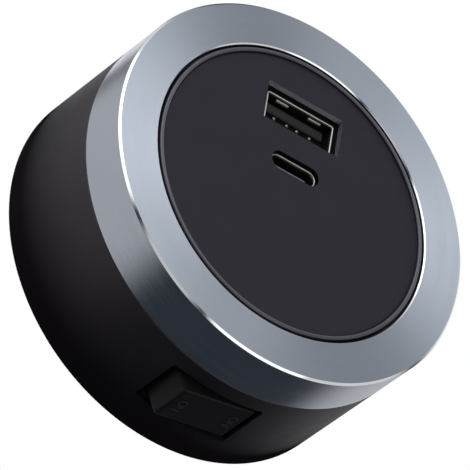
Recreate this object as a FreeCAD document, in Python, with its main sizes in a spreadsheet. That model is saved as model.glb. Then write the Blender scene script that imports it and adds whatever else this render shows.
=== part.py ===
import FreeCAD, Part
import math
import os
import re

import Sketcher
from FreeCAD import Placement, Rotation, Vector

# Track USB socket: a round puck that is pushed into a power track and turned a quarter.
# The pieces are drawn with the puck lying on its seat: X to the right, Y up the wall and Z out of the
# wall, so that Z = 0 is the seat and Z = puck_height the front. Each piece is then stood up, which
# turns its front to -Y and its top to +Z, with the origin in the middle of the seat.
# All sizes are in millimetres and degrees.

SIZES = (
    ("puck_radius", 33.0, "outside of the ring and of the housing"),
    ("puck_height", 30.4, "seat to front"),
    # trim ring
    ("ring_band", 9.1, "height of the ring's side"),
    ("ring_opening", 25.7, "radius of the hole in the ring's front"),
    ("ring_flange", 1.6, "thickness of the ring's front"),
    ("ring_wall", 1.8, "thickness of the ring's side"),
    ("ring_outer_chamfer", 0.5, "bright edge round the front"),
    ("ring_inner_chamfer", 0.3, "bright edge round the opening"),
    ("ring_foot_chamfer", 0.15, "edge towards the housing"),
    # housing
    ("housing_wall", 2.4, "side wall"),
    ("housing_edge_round", 0.45, "rounding of the rear edge"),
    ("neck_clearance", 0.12, "between the neck and the ring"),
    ("neck_wall", 1.5, "wall of the neck under the ring"),
    ("shelf_width", 1.7, "inward step that the face plate sits on"),
    ("shelf_thickness", 1.5, "thickness of that step"),
    ("shoulder_rise", 2.3, "how far below the ring the thick wall ends"),
    # face plate
    ("face_gap", 0.6, "dark gap between face and ring"),
    ("lip_width", 0.7, "raised lip round the face"),
    ("lip_height", 0.5, "lip above the face, flush with the ring"),
    ("lip_round", 0.25, "rounding of the lip"),
    ("groove_width", 0.3, "fine groove inside the lip"),
    ("groove_depth", 0.25, "depth of that groove"),
    ("flange_thickness", 2.0, "face plate's rim under the ring"),
    ("fit_gap", 0.1, "clearance of parts that drop into each other"),
    ("cut_over", 1.0, "how far cutters and joined solids reach past a face"),
    ("post_gap", 0.18, "screw posts to the housing's step"),
    ("post_radius", 2.7, "screw post"),
    ("post_bore", 1.05, "hole in the post"),
    ("post_bore_depth", 11.0, "depth of that hole"),
    # back cover
    ("cover_thickness", 2.4, "back cover"),
    ("cover_rim", 1.6, "housing wall left round the back cover"),
    ("seat_depth", 2.0, "pocket for the adapter's base"),
    ("seat_boss_height", 4.2, "top of the boss inside the pocket"),
    ("seat_boss_wall", 2.0, "wall round the pocket"),
    ("spigot_radius", 6.9, "centring collar of the adapter"),
    # case screws
    ("case_screw_hole", 1.5, "clearance hole in the back cover"),
    ("case_screw_head", 2.3, "head radius"),
    ("case_screw_head_height", 1.2, "head height"),
    ("case_screw_sink", 1.4, "depth of the counterbore"),
    ("case_screw_length", 11.0, "from the seat to the tip"),
    # rocker switch
    ("cutout_length", 17.0, "switch opening across the body"),
    ("cutout_width", 11.0, "switch opening from front to back"),
    ("cutout_corner", 0.5, "rounding of the opening's corners"),
    ("switch_height", 12.6, "middle of the switch above the seat"),
    ("rocker_pivot_depth", 6.0, "pivot axis below the body's surface"),
    ("rocker_top_length", 13.0, "flat top of the rocker"),
    ("rocker_foot_length", 15.7, "rocker at the widest"),
    ("rocker_width", 8.6, "rocker from front to back"),
    ("rocker_top_height", 6.37, "flat top above the pivot"),
    ("rocker_cap_height", 3.37, "height of the leaning end faces"),
    ("rocker_skirt_length", 14.4, "rocker at its lower edge"),
    ("rocker_skirt_height", 0.6, "lower edge above the pivot"),
    ("rocker_round", 0.4, "rounding of the rocker's edges"),
    ("rocker_skin", 1.4, "wall of the rocker"),
    ("rocker_tilt", 11.2, "tilt from the middle to either side"),
    ("rocker_gap", 0.35, "between rocker and switch case"),
    ("pin_radius", 1.2, "rocker's pivot stubs"),
    ("pin_gap", 0.05, "running clearance of the stubs"),
    ("pin_length", 1.4, "stub beyond the rocker's side"),
    ("hub_size", 4.2, "square hub that guides the plunger"),
    ("hub_reach", 2.0, "hub below the pivot"),
    ("plunger_radius", 0.95, "plunger in the hub"),
    ("plunger_gap", 0.08, "running clearance of the plunger"),
    ("plunger_lever_gap", 0.25, "tip to the see-saw contact"),
    ("plunger_length", 4.2, "length of the plunger"),
    ("plunger_bore_height", 3.0, "end of the hub's bore above the pivot"),
    ("plunger_spring_wire", 0.25, "wire of the plunger's spring"),
    ("plunger_spring_turns", 5, "turns of the plunger's spring"),
    ("case_length", 20.4, "switch case across the body"),
    ("case_wall", 1.45, "its side walls"),
    ("case_end_wall", 1.2, "its end walls"),
    ("case_floor", 1.5, "its floor"),
    ("case_rim", 4.4, "its rim below the body's surface"),
    ("case_depth", 9.1, "rim to underside"),
    ("cheek_drop", 1.4, "cheeks beside the rocker, below the body's surface"),
    ("cheek_gap", 0.1, "cheeks to the edge of the opening"),
    ("lever_length", 12.0, "see-saw contact"),
    ("lever_width", 4.0, "see-saw contact"),
    ("lever_thickness", 0.45, "see-saw contact"),
    ("lever_corner", 0.5, "rounded corners of the see-saw contact"),
    ("lever_tilt", 8.0, "tilt of the see-saw to either side"),
    ("lever_lift", 0.95, "underside of the level see-saw above the case's floor"),
    ("contact_gap", 0.1, "clearance of a closed contact"),
    ("contact_place", 4.6, "load contact from the middle"),
    ("contact_head", 1.6, "length of the load contact's head"),
    ("terminal_thickness", 0.6, "brass blade"),
    ("terminal_width", 3.0, "brass blade"),
    ("terminal_reach", 5.5, "blade below the switch case"),
    # track adapter
    ("base_radius", 13.0, "adapter's base disc in the back cover"),
    ("tongue_half_width", 5.7, "half width, passes the slot of the track"),
    ("tongue_half_length", 11.0, "half length, grips behind the slot's lips"),
    ("tongue_neck", 5.0, "neck from the seat to the head"),
    ("tongue_reach", 14.0, "seat to the end of the head"),
    ("tongue_cap_thickness", 1.5, "end cap"),
    ("tongue_edge_round", 0.6, "rounded edges of the end cap"),
    ("shoe_width", 4.0, "contact shoe"),
    ("shoe_height", 3.6, "contact shoe"),
    ("shoe_nose", 2.8, "width of the nose in the window"),
    ("shoe_stand", 1.4, "nose beyond the head's end"),
    ("shoe_stop", 1.4, "wall that stops the shoe"),
    ("shoe_length", 4.2, "shoe behind the wall"),
    ("shoe_gap", 0.15, "clearance round the shoe"),
    ("shoe_round", 0.8, "rounding of the nose"),
    ("shoe_cell_start", 2.9, "inner end of the shoe's cell"),
    ("earth_pin_radius", 1.5, "earth plunger's nose"),
    ("earth_collar_radius", 2.1, "its collar"),
    ("earth_collar_height", 1.2, "its collar"),
    ("earth_stand", 1.6, "nose beyond the end cap"),
    ("earth_round", 0.7, "rounding of the nose"),
    ("earth_cell_depth", 5.4, "cell for its spring"),
    ("spring_wire", 0.35, "wire of the contact springs"),
    ("spring_radius", 1.25, "outside of the contact springs"),
    ("shoe_spring_turns", 3, "turns of the shoes' springs"),
    ("earth_spring_turns", 4, "turns of the earth plunger's spring"),
    ("lead_place", 4.4, "live and neutral leads from the middle"),
    ("lead_radius", 0.75, "insulated lead"),
    ("duct_radius", 0.9, "duct for a lead"),
    ("tongue_screw_place", 10.0, "adapter screws from the middle"),
    ("small_screw_radius", 0.95, "shank of the small screws"),
    ("small_screw_hole", 1.0, "hole for the small screws"),
    ("small_screw_head", 1.8, "head radius of the small screws"),
    ("small_screw_head_height", 1.1, "head of the small screws"),
    ("board_screw_length", 5.5, "screws of both boards"),
    ("cross_width_part", 0.28, "width of a screw's cross as a part of the head's radius"),
    ("cross_length_part", 1.2, "length of a screw's cross as a part of the head's radius"),
    ("cross_depth_part", 0.6, "depth of a screw's cross as a part of the head's height"),
    ("cap_screw_place", 3.9, "end cap's screws from the middle"),
    ("cap_screw_radius", 0.76, "end cap's screws"),
    ("cap_screw_hole", 0.8, "holes for the end cap's screws"),
    ("cap_screw_bore_depth", 5.0, "holes in the adapter's head"),
    ("cap_screw_head", 1.3, "end cap's screws"),
    ("cap_screw_head_height", 0.5, "end cap's screws"),
    ("cap_screw_length", 5.0, "end cap's screws"),
    ("tongue_screw_length", 4.0, "adapter screws"),
    # USB type A receptacle
    ("port_a_height", 14.85, "middle of the port above the puck's axis"),
    ("port_a_length", 13.1, "shell, outside"),
    ("port_a_width", 5.72, "shell, outside"),
    ("port_a_recess", 1.2, "shell behind the face"),
    ("recess_length", 14.6, "step in the face round the shell"),
    ("recess_width", 7.5, "step in the face round the shell"),
    ("shell_wall", 0.3, "sheet of both shells"),
    ("tongue_a_length", 11.1, "tongue in port A"),
    ("tongue_a_thickness", 1.84, "tongue in port A"),
    ("tongue_a_gap", 0.72, "tongue to the shell's upper wall"),
    ("tongue_a_recess", 1.4, "tongue behind the shell's front"),
    ("base_a_height", 3.5, "moulded block at the rear of port A"),
    ("contact_a_width", 1.0, "contact strip"),
    ("contact_a_thickness", 0.22, "contact strip"),
    ("contact_a_inner", 1.0, "inner contact strips from the middle"),
    ("contact_a_outer", 3.5, "outer contact strips from the middle"),
    ("contact_a_bump", 0.38, "bent tip of a strip"),
    ("contact_a_back", 0.3, "strip's end behind the tongue's end"),
    ("contact_a_tip", 1.4, "bent tip behind the tongue's end"),
    ("port_a_corner", 0.3, "rounded corners of the shell"),
    ("clip_width", 2.2, "spring tab of the shell"),
    ("clip_length", 4.4, "spring tab of the shell"),
    ("clip_place", 3.15, "spring tabs from the middle"),
    ("clip_start", 0.75, "tab behind the shell's front"),
    ("clip_slot", 0.3, "slot round a tab"),
    ("clip_lean", 6.5, "tab leans into the port"),
    ("clip_thickness", 0.24, "spring tab of the shell"),
    # USB type C receptacle
    ("port_c_height", 4.9, "middle of the port above the puck's axis"),
    ("port_c_length", 8.94, "shell, outside"),
    ("port_c_width", 3.16, "shell, outside"),
    ("port_c_recess", 0.75, "shell behind the face"),
    ("port_c_gap", 0.05, "face plate round the shell"),
    ("tongue_c_length", 6.69, "tongue in port C"),
    ("tongue_c_thickness", 0.7, "tongue in port C"),
    ("tongue_c_recess", 1.1, "tongue behind the shell's front"),
    ("tongue_c_reach", 4.4, "free length of the tongue"),
    ("contact_c_pitch", 0.5, "contact pads on the tongue"),
    ("contact_c_width", 0.26, "contact pads on the tongue"),
    ("contact_c_thickness", 0.06, "contact pads on the tongue"),
    ("contact_c_length", 3.4, "contact pads on the tongue"),
    ("contact_c_back", 0.4, "pads behind the tongue's front"),
    ("tongue_c_corner", 0.3, "rounded front corners of the tongue"),
    # boards
    ("board_thickness", 1.6, "both boards"),
    ("output_board_length", 20.8, "board behind the ports"),
    ("output_board_low", 1.4, "its lower edge below the puck's axis"),
    ("output_board_gap", 0.3, "its upper edge to the screw post"),
    ("output_board_height", 13.4, "its rear face above the seat"),
    ("standoff_place", 8.7, "its screws from the middle"),
    ("standoff_low", 0.9, "its lower screws"),
    ("standoff_edge", 2.1, "its upper screws below the upper edge"),
    ("standoff_radius", 1.6, "face plate's standoffs"),
    ("standoff_bore_depth", 5.0, "their holes"),
    ("board_corner", 1.6, "rounded corners of the output board"),
    ("power_board_height", 6.0, "mains board's rear face above the seat"),
    ("power_board_gap", 3.6, "mains board's round edge to the housing"),
    ("power_board_switch_gap", 2.0, "its straight edge to the switch case"),
    ("power_screw_edge_high", 3.5, "upper mains board screws to the board's round edge"),
    ("power_screw_edge_low", 6.4, "lower mains board screws to the board's round edge"),
    ("power_screw_angle", 40.0, "all four screws from the level line"),
    ("power_boss_radius", 2.2, "bosses under the mains board"),
    ("board_gap", 0.6, "boards to the posts"),
    # transformer
    ("core_x", -17.0, "middle of the transformer"),
    ("core_y", 2.5, "middle of the transformer"),
    ("core_length", 13.0, "ferrite core"),
    ("core_depth", 7.0, "ferrite core"),
    ("core_height", 11.0, "ferrite core"),
    ("core_lift", 1.2, "core above the board"),
    ("core_leg", 1.8, "outer legs of the core"),
    ("core_yoke", 2.0, "yokes of the core"),
    ("core_middle", 4.0, "middle leg of the core"),
    ("bobbin_wall", 0.5, "bobbin"),
    ("bobbin_flange", 0.7, "bobbin"),
    ("winding_depth", 12.8, "winding from front to back"),
    ("winding_gap", 0.25, "winding to the core's outer legs"),
    ("winding_corner", 1.8, "rounded corners of the winding"),
    ("bobbin_margin", 0.2, "bobbin's flanges beyond the winding"),
    ("rail_depth", 2.7, "bobbin's feet"),
    # other parts on the boards
    ("input_cap_radius", 4.0, "input capacitor"),
    ("input_cap_height", 13.0, "input capacitor"),
    ("input_cap_x", 15.8, "input capacitors"),
    ("input_cap_y", -0.15, "middle between the two"),
    ("input_cap_pitch", 9.3, "input capacitors"),
    ("output_cap_radius", 3.15, "output capacitor"),
    ("output_cap_height", 5.4, "output capacitor"),
    ("output_cap_x", 12.2, "output capacitor"),
    ("output_cap_y", 14.0, "output capacitor"),
    ("choke_radius", 3.5, "filter choke"),
    ("choke_height", 7.0, "filter choke"),
    ("choke_neck", 1.6, "drum of the choke"),
    ("choke_flange", 1.0, "drum of the choke"),
    ("choke_inset", 0.5, "winding inside the drum's rim"),
    ("choke_x", -4.0, "filter choke"),
    ("choke_y", -8.5, "filter choke"),
    ("fuse_radius", 1.6, "fuse"),
    ("fuse_length", 5.8, "fuse"),
    ("fuse_step", 0.15, "glass inside the fuse's end caps"),
    ("fuse_gap", 0.8, "fuse to the head of the board screw beside it"),
    ("fuse_rise", 0.75, "fuse's axis below that screw's"),
    ("x_cap_length", 9.5, "film capacitor"),
    ("x_cap_depth", 5.0, "film capacitor"),
    ("x_cap_height", 8.0, "film capacitor"),
    ("x_cap_corner", 0.3, "film capacitor"),
    ("x_cap_x", 5.75, "middle of the film capacitor"),
    ("x_cap_y", -5.9, "middle of the film capacitor"),
    ("y_cap_radius", 3.2, "disc capacitor"),
    ("y_cap_thickness", 2.3, "disc capacitor"),
    ("y_cap_x", -9.0, "disc capacitor"),
    ("y_cap_y", -5.0, "disc capacitor"),
    ("y_cap_lift", 0.6, "disc capacitor above the board"),
    ("y_cap_leg_place", 1.9, "its legs from the middle"),
    ("y_cap_leg_radius", 0.32, "its legs"),
    ("bridge_x", -3.0, "bridge rectifier"),
    ("bridge_y", 14.2, "bridge rectifier"),
    ("bridge_length", 6.0, "bridge rectifier"),
    ("bridge_depth", 4.6, "bridge rectifier"),
    ("bridge_rise", 2.2, "bridge rectifier"),
    ("switcher_x", 5.5, "switching chip"),
    ("switcher_y", 14.0, "switching chip"),
    ("switcher_length", 5.0, "switching chip"),
    ("switcher_depth", 4.0, "switching chip"),
    ("switcher_rise", 1.6, "switching chip"),
    ("coupler_x", 4.8, "optocoupler"),
    ("coupler_y", 19.4, "optocoupler"),
    ("coupler_length", 6.5, "optocoupler"),
    ("coupler_depth", 4.6, "optocoupler"),
    ("coupler_rise", 3.4, "optocoupler"),
    ("charger_length", 4.5, "charge chip, square"),
    ("charger_rise", 0.9, "charge chip"),
    ("header_length", 10.16, "link between the boards"),
    ("header_width", 2.5, "link between the boards"),
    ("header_y", 8.8, "link between the boards"),
    ("header_pin", 0.32, "half width of a pin"),
    ("header_pitch", 2.54, "pins"),
    ("header_pin_stub", 0.8, "pins beyond the boards"),
)

ALIASES = {alias for alias, value, note in SIZES}

doc = FreeCAD.newDocument("track_usb_socket")
sheet = doc.addObject("Spreadsheet::Sheet", "Sizes")
for row, (alias, value, note) in enumerate(SIZES, start=1):
    sheet.set(f"A{row}", note)
    sheet.set(f"B{row}", str(value))
    sheet.setAlias(f"B{row}", alias)
doc.recompute()

# Heights above the seat and other sizes that follow from the sheet.
FACE = "(puck_height - lip_height)"
RING_FOOT = "(puck_height - ring_band)"
RING_UNDERSIDE = "(puck_height - ring_flange)"
FLANGE_UNDERSIDE = "(puck_height - ring_flange - flange_thickness)"
FACE_RADIUS = "(ring_opening - face_gap)"
NECK_OUTSIDE = "(puck_radius - ring_wall - neck_clearance)"
NECK_INSIDE = "(puck_radius - ring_wall - neck_clearance - neck_wall)"
POST_CIRCLE = (
    "(puck_radius - ring_wall - neck_clearance - neck_wall - shelf_width - post_gap - post_radius)"
)
HOUSING_INSIDE = "(puck_radius - housing_wall)"
COVER_RADIUS = "(puck_radius - cover_rim - fit_gap)"
SEAT_POCKET = "(base_radius + 2 * fit_gap)"
PORT_A_FRONT = "(puck_height - lip_height - port_a_recess)"
PORT_C_FRONT = "(puck_height - lip_height - port_c_recess)"
OUTPUT_BOARD_HIGH = f"({POST_CIRCLE} - post_radius - output_board_gap)"
OUTPUT_BOARD_FRONT = "(output_board_height + board_thickness)"
POWER_BOARD_FRONT = "(power_board_height + board_thickness)"
POWER_BOARD_RADIUS = "(puck_radius - housing_wall - power_board_gap)"
POWER_BOARD_CHORD = "(puck_radius - case_rim - case_depth - power_board_switch_gap)"
LOW_SCREW_CIRCLE = f"({POWER_BOARD_RADIUS} - power_screw_edge_low)"
FUSE_X = (
    f"(small_screw_head + fuse_gap + fuse_length / 2 - {LOW_SCREW_CIRCLE} * cos(power_screw_angle))"
)
FUSE_Y = f"(0 - {LOW_SCREW_CIRCLE} * sin(power_screw_angle) - fuse_rise)"
PIVOT = "(rocker_pivot_depth - puck_radius)"
CASE_RIM = "(case_rim - puck_radius)"
CASE_UNDERSIDE = "(case_rim - puck_radius + case_depth)"
CASE_INNER_FLOOR = "(case_rim - puck_radius + case_depth - case_floor)"
PLUNGER_REACH = (
    "(case_rim + case_depth - case_floor - lever_lift - lever_thickness"
    " - rocker_pivot_depth - plunger_lever_gap)"
)
CASE_WIDTH = "(rocker_width + 2 * rocker_gap + 2 * case_wall)"
TONGUE_HEAD = "(0 - tongue_neck)"
TONGUE_CELLS = "(tongue_cap_thickness - tongue_reach)"
SHOE_SHOULDER = "(tongue_half_length - shoe_stop)"

POST_ANGLES = (90, 210, 330)
HEADER_PINS = 4
PADS_PER_SIDE = 12
ARCS_PER_TURN = 4
STAND_UP = Placement(Vector(0, 0, 0), Rotation(Vector(1, 0, 0), 90))
TURN_TO_X = Rotation(Vector(0, 1, 0), 90)
TURN_TO_Y = Rotation(Vector(1, 0, 0), -90)
NODES = {}


def size(alias):
    """The value of one cell of the sheet."""
    return float(sheet.get(alias))


def formula(text):
    """The text of a size with each of the sheet's aliases given its sheet's name."""
    return re.sub(
        r"[a-z][a-z_]+", lambda word: "Sizes." + word[0] if word[0] in ALIASES else word[0], text,
    )


def bind(thing, **properties):
    """Ties properties of an object to sizes of the sheet."""
    for name, text in properties.items():
        thing.setExpression(name, formula(text))


def move(thing, x="0", y="0", z="0", turn=None):
    """Puts an object at a place worked out from the sheet."""
    if turn is not None:
        thing.Placement = Placement(Vector(0, 0, 0), turn)
    for axis, text in (("x", x), ("y", y), ("z", z)):
        if text != "0":
            thing.setExpression("Placement.Base." + axis, formula(text))
    return thing


def box(name, low, dims):
    """A box from its low corner and its three sizes."""
    thing = doc.addObject("Part::Box", name)
    bind(thing, Length=dims[0], Width=dims[1], Height=dims[2])
    return move(thing, *low)


def middle_box(name, middle, dims):
    """A box that is centred in X and Y and stands on its low Z."""
    low = (f"{middle[0]} - ({dims[0]}) / 2", f"{middle[1]} - ({dims[1]}) / 2", middle[2])
    return box(name, low, dims)


def cylinder(name, place, radius, height, turn=None):
    """A cylinder from the middle of its foot; turn lays its axis along X or Y."""
    thing = doc.addObject("Part::Cylinder", name)
    bind(thing, Radius=radius, Height=height)
    return move(thing, *place, turn=turn)


def slot_block(name, height_above_axis, foot, length, width, height):
    """A block with round ends, as the outline of a type C plug."""
    straight = f"(({length}) - ({width}))"
    radius = f"(({width}) / 2)"
    middle = middle_box(name + "_middle", ("0", height_above_axis, foot), (straight, width, height))
    left = cylinder(name + "_left", (f"0 - {straight} / 2", height_above_axis, foot), radius, height)
    right = cylinder(name + "_right", (f"{straight} / 2", height_above_axis, foot), radius, height)
    return fuse(name, middle, left, right)


def fuse(name, *things):
    """One solid from several."""
    thing = doc.addObject("Part::MultiFuse", name)
    thing.Shapes = list(things)
    thing.Refine = True
    return thing


def cut(name, base, *tools):
    """A solid with others taken out of it."""
    thing = doc.addObject("Part::Cut", name)
    thing.Base = base
    thing.Tool = tools[0] if len(tools) == 1 else fuse(name + "_tools", *tools)
    thing.Refine = True
    return thing


def common(name, *things):
    """What several solids share."""
    thing = doc.addObject("Part::MultiCommon", name)
    thing.Shapes = list(things)
    return thing


def group(name, *things):
    """Several separate solids kept as one piece."""
    thing = doc.addObject("Part::Compound", name)
    thing.Links = list(things)
    return thing


def rounded(name, base, radius, chosen):
    """A solid with the chosen edges rounded."""
    doc.recompute()
    thing = doc.addObject("Part::Fillet", name)
    thing.Base = base
    numbers = [number for number, edge in enumerate(base.Shape.Edges, start=1) if chosen(edge)]
    thing.Edges = [(number, size(radius), size(radius)) for number in numbers]
    return thing


def outline(body, name, role, corners):
    """A closed outline of straight edges in one of a body's own planes, each corner tied to the sheet."""
    sketch = body.newObject("Sketcher::SketchObject", name)
    plane = next(feature for feature in body.Origin.OriginFeatures if feature.Role == role)
    sketch.AttachmentSupport = [(plane, "")]
    sketch.MapMode = "FlatFace"
    places = [worked_out(across, up) for across, up in corners]
    count = len(corners)
    for number in range(count):
        sketch.addGeometry(Part.LineSegment(places[number], places[(number + 1) % count]), False)
    for number in range(count):
        sketch.addConstraint(Sketcher.Constraint("Coincident", number, 2, (number + 1) % count, 1))
    for number, (across, up) in enumerate(corners):
        for kind, value, text in (
            ("DistanceX", places[number].x, across), ("DistanceY", places[number].y, up),
        ):
            pin_corner(sketch, number, kind, value, text)
    return sketch


def worked_out(across, up):
    """The point that two sizes of the sheet give just now."""
    probe = doc.addObject("Part::Box", "Probe")
    bind(probe, **{".Placement.Base.x": "0 + " + across, ".Placement.Base.y": "0 + " + up})
    probe.recompute()
    point = Vector(probe.Placement.Base.x, probe.Placement.Base.y, 0)
    doc.removeObject(probe.Name)
    return point


def pin_corner(sketch, number, kind, value, text):
    """Holds one coordinate of a corner at its distance from the sketch's origin."""
    if abs(value) < 1e-9:
        axis = -2 if kind == "DistanceX" else -1
        sketch.addConstraint(Sketcher.Constraint("PointOnObject", number, 1, axis))
        return
    if value > 0:
        index = sketch.addConstraint(Sketcher.Constraint(kind, -1, 1, number, 1, value))
        sketch.setExpression(f"Constraints[{index}]", formula("0 + " + text))
    else:
        index = sketch.addConstraint(Sketcher.Constraint(kind, number, 1, -1, 1, -value))
        sketch.setExpression(f"Constraints[{index}]", formula("0 - (" + text + ")"))


def turned(name, corners):
    """A body turned from an outline of (radius, height) corners about the puck's axis."""
    body = doc.addObject("PartDesign::Body", name)
    sketch = outline(body, name + "_outline", "XZ_Plane", corners)
    revolution = body.newObject("PartDesign::Revolution", name + "_turned")
    revolution.Profile = sketch
    revolution.ReferenceAxis = (sketch, ["V_Axis"])
    revolution.Angle = 360
    body.Tip = revolution
    return body


def extruded(name, corners, height):
    """A body raised from an outline of (X, Y) corners."""
    body = doc.addObject("PartDesign::Body", name)
    sketch = outline(body, name + "_outline", "XY_Plane", corners)
    pad = body.newObject("PartDesign::Pad", name + "_pad")
    pad.Profile = sketch
    bind(pad, Length=height)
    body.Tip = pad
    return body


def round_rims(body, radius, rims):
    """Rounds a turned body's circular edges, each given by its radius and its height."""
    doc.recompute()
    base = body.Tip
    names = []
    for number, edge in enumerate(base.Shape.Edges, start=1):
        for rim_radius, rim_height in rims:
            if is_rim(edge, rim_radius, rim_height):
                names.append(f"Edge{number}")
    fillet = body.newObject("PartDesign::Fillet", body.Name + "_round")
    fillet.Base = (base, names)
    bind(fillet, Radius=radius)
    body.Tip = fillet
    return body


def is_rim(edge, radius, height):
    """Whether an edge is the circle of that radius about the puck's axis at that height."""
    if not isinstance(edge.Curve, Part.Circle):
        return False
    centre = edge.Curve.Center
    on_axis = math.hypot(centre.x, centre.y) < 1e-6
    return on_axis and abs(edge.Curve.Radius - radius) < 1e-6 and abs(centre.z - height) < 1e-6


def piece(name, thing, placement=None):
    """Names a finished piece and stands it up; placement sets it in the lying puck first."""
    if thing.ExpressionEngine:
        thing = group(thing.Name + "Piece", thing)
    thing.Label = name
    thing.Placement = STAND_UP if placement is None else STAND_UP.multiply(placement)
    NODES[name] = thing
    return thing


def post_places():
    """The three screw posts' places in the plane of the seat, as formulas."""
    return [(f"{POST_CIRCLE} * cos({angle})", f"{POST_CIRCLE} * sin({angle})") for angle in POST_ANGLES]


def standoff_places():
    """The output board's four screws."""
    return [
        (f"{side} * standoff_place", row)
        for side in (-1, 1)
        for row in ("standoff_low", OUTPUT_BOARD_HIGH + " - standoff_edge")
    ]


def power_screw_places():
    """The mains board's four screws."""
    places = []
    for row, edge in ((1, "power_screw_edge_high"), (-1, "power_screw_edge_low")):
        radius = f"({POWER_BOARD_RADIUS} - {edge})"
        for side in (-1, 1):
            x = f"{side} * {radius} * cos(power_screw_angle)"
            places.append((x, f"{row} * {radius} * sin(power_screw_angle)"))
    return places


def screw(name, place, head_radius, head_height, shank_radius, length, down=False):
    """A cross-head screw whose head stands on the given place and whose shank runs from it.

    The shank runs up from the head, or down with down set, and length is the whole screw's.
    """
    x, y, z = place
    cross_width = f"({head_radius}) * cross_width_part"
    cross_length = f"({head_radius}) * cross_length_part"
    cross_depth = f"({head_height}) * cross_depth_part"
    if down:
        shank_z = f"{z} + ({head_height}) - ({length})"
        cross_z = f"{z} + ({head_height}) - {cross_depth}"
    else:
        shank_z = f"{z} + ({head_height}) / 2"
        cross_z = z
    head = cylinder(name + "_head", (x, y, z), head_radius, head_height)
    shank_length = f"({length}) - ({head_height}) / 2"
    shank = cylinder(name + "_shank", (x, y, shank_z), shank_radius, shank_length)
    along = middle_box(name + "_cross_a", (x, y, cross_z), (cross_length, cross_width, cross_depth))
    across = middle_box(name + "_cross_b", (x, y, cross_z), (cross_width, cross_length, cross_depth))
    return cut(name, fuse(name + "_solid", head, shank), along, across)


def coil(name, radius, wire, length, turns):
    """A compression spring along Z with a round wire, clear of both ends of its length."""
    middle = radius - wire / 2
    pitch = (length - 3 * wire) / turns
    arcs = []
    for number in range(int(turns) * ARCS_PER_TURN):
        arcs += biarc(*(helix_point(middle, pitch, 1.5 * wire, number + end) for end in (0, 1)))
    heading = arcs[0].tangentAt(arcs[0].FirstParameter)
    section = Part.Wire(Part.makeCircle(wire / 2, arcs[0].valueAt(arcs[0].FirstParameter), heading))
    thing = doc.addObject("Part::Feature", name)
    thing.Shape = Part.Wire(arcs).makePipeShell([section], True, False)
    return thing


def helix_point(radius, pitch, foot, number):
    """A point of a helix and the direction of its wire there, counted in arcs from its start."""
    turn = 2 * math.pi * number / ARCS_PER_TURN
    point = Vector(radius * math.cos(turn), radius * math.sin(turn), foot + pitch * number / ARCS_PER_TURN)
    heading = Vector(-math.sin(turn), math.cos(turn), pitch / (2 * math.pi * radius))
    return point, heading.normalize()


def biarc(start, end):
    """Two arcs that join two points and keep the given directions at both."""
    (low, low_way), (high, high_way) = start, end
    across = high - low
    ways = low_way + high_way
    spread = 2 * (1 - low_way.dot(high_way))
    along = across.dot(ways)
    reach = (math.sqrt(along ** 2 + spread * across.dot(across)) - along) / spread
    low_corner = low + low_way * reach
    high_corner = high - high_way * reach
    joint = (low_corner + high_corner) / 2
    return [arc_between(low, low_corner, joint), arc_between(joint, high_corner, high)]


def arc_between(start, corner, end):
    """The arc from start to end whose end tangents meet in the corner."""
    chord_middle = (start + end) / 2
    half = (end - start).Length / 2
    side = (corner - start).Length
    height = (corner - chord_middle).Length
    sagitta = half * (side - half) / height
    summit = chord_middle + (corner - chord_middle).normalize() * sagitta
    return Part.Arc(start, summit, end).toShape()


# Trim ring
def make_trim_ring():
    corners = (
        ("ring_opening", RING_UNDERSIDE),
        ("puck_radius - ring_wall", RING_UNDERSIDE),
        ("puck_radius - ring_wall", RING_FOOT),
        ("puck_radius - ring_foot_chamfer", RING_FOOT),
        ("puck_radius", RING_FOOT + " + ring_foot_chamfer"),
        ("puck_radius", "puck_height - ring_outer_chamfer"),
        ("puck_radius - ring_outer_chamfer", "puck_height"),
        ("ring_opening + ring_inner_chamfer", "puck_height"),
        ("ring_opening", "puck_height - ring_inner_chamfer"),
    )
    piece("trim_ring", turned("TrimRing", corners))


# Housing
def make_housing():
    corners = (
        ("puck_radius - cover_rim", "0"),
        ("puck_radius", "0"),
        ("puck_radius", RING_FOOT),
        (NECK_OUTSIDE, RING_FOOT),
        (NECK_OUTSIDE, RING_UNDERSIDE),
        (NECK_INSIDE, RING_UNDERSIDE),
        (NECK_INSIDE, FLANGE_UNDERSIDE),
        (NECK_INSIDE + " - shelf_width", FLANGE_UNDERSIDE),
        (NECK_INSIDE + " - shelf_width", FLANGE_UNDERSIDE + " - shelf_thickness"),
        (NECK_INSIDE, FLANGE_UNDERSIDE + " - shelf_thickness"),
        (NECK_INSIDE, RING_FOOT + " - shoulder_rise / 2"),
        (HOUSING_INSIDE, RING_FOOT + " - shoulder_rise"),
        (HOUSING_INSIDE, "cover_thickness"),
        ("puck_radius - cover_rim", "cover_thickness"),
    )
    shell = round_rims(
        turned("HousingShell", corners), "housing_edge_round", [(size("puck_radius"), 0)],
    )
    opening = box(
        "SwitchOpening",
        ("0 - cutout_length / 2", "0 - puck_radius - cut_over", "switch_height - cutout_width / 2"),
        ("cutout_length", "housing_wall * 3", "cutout_width"),
    )
    upright = rounded("SwitchOpeningRound", opening, "cutout_corner", is_along_y)
    piece("housing", cut("Housing", shell, upright))


def is_along_y(edge):
    """Whether an edge is straight and parallel to Y."""
    return is_straight_along(edge, Vector(0, 1, 0))


def is_along_z(edge):
    """Whether an edge is straight and parallel to Z."""
    return is_straight_along(edge, Vector(0, 0, 1))


def is_straight_along(edge, direction):
    """Whether an edge is a straight line in that direction."""
    if not isinstance(edge.Curve, Part.Line):
        return False
    return abs(abs(edge.Curve.Direction.dot(direction)) - 1) < 1e-6


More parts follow.
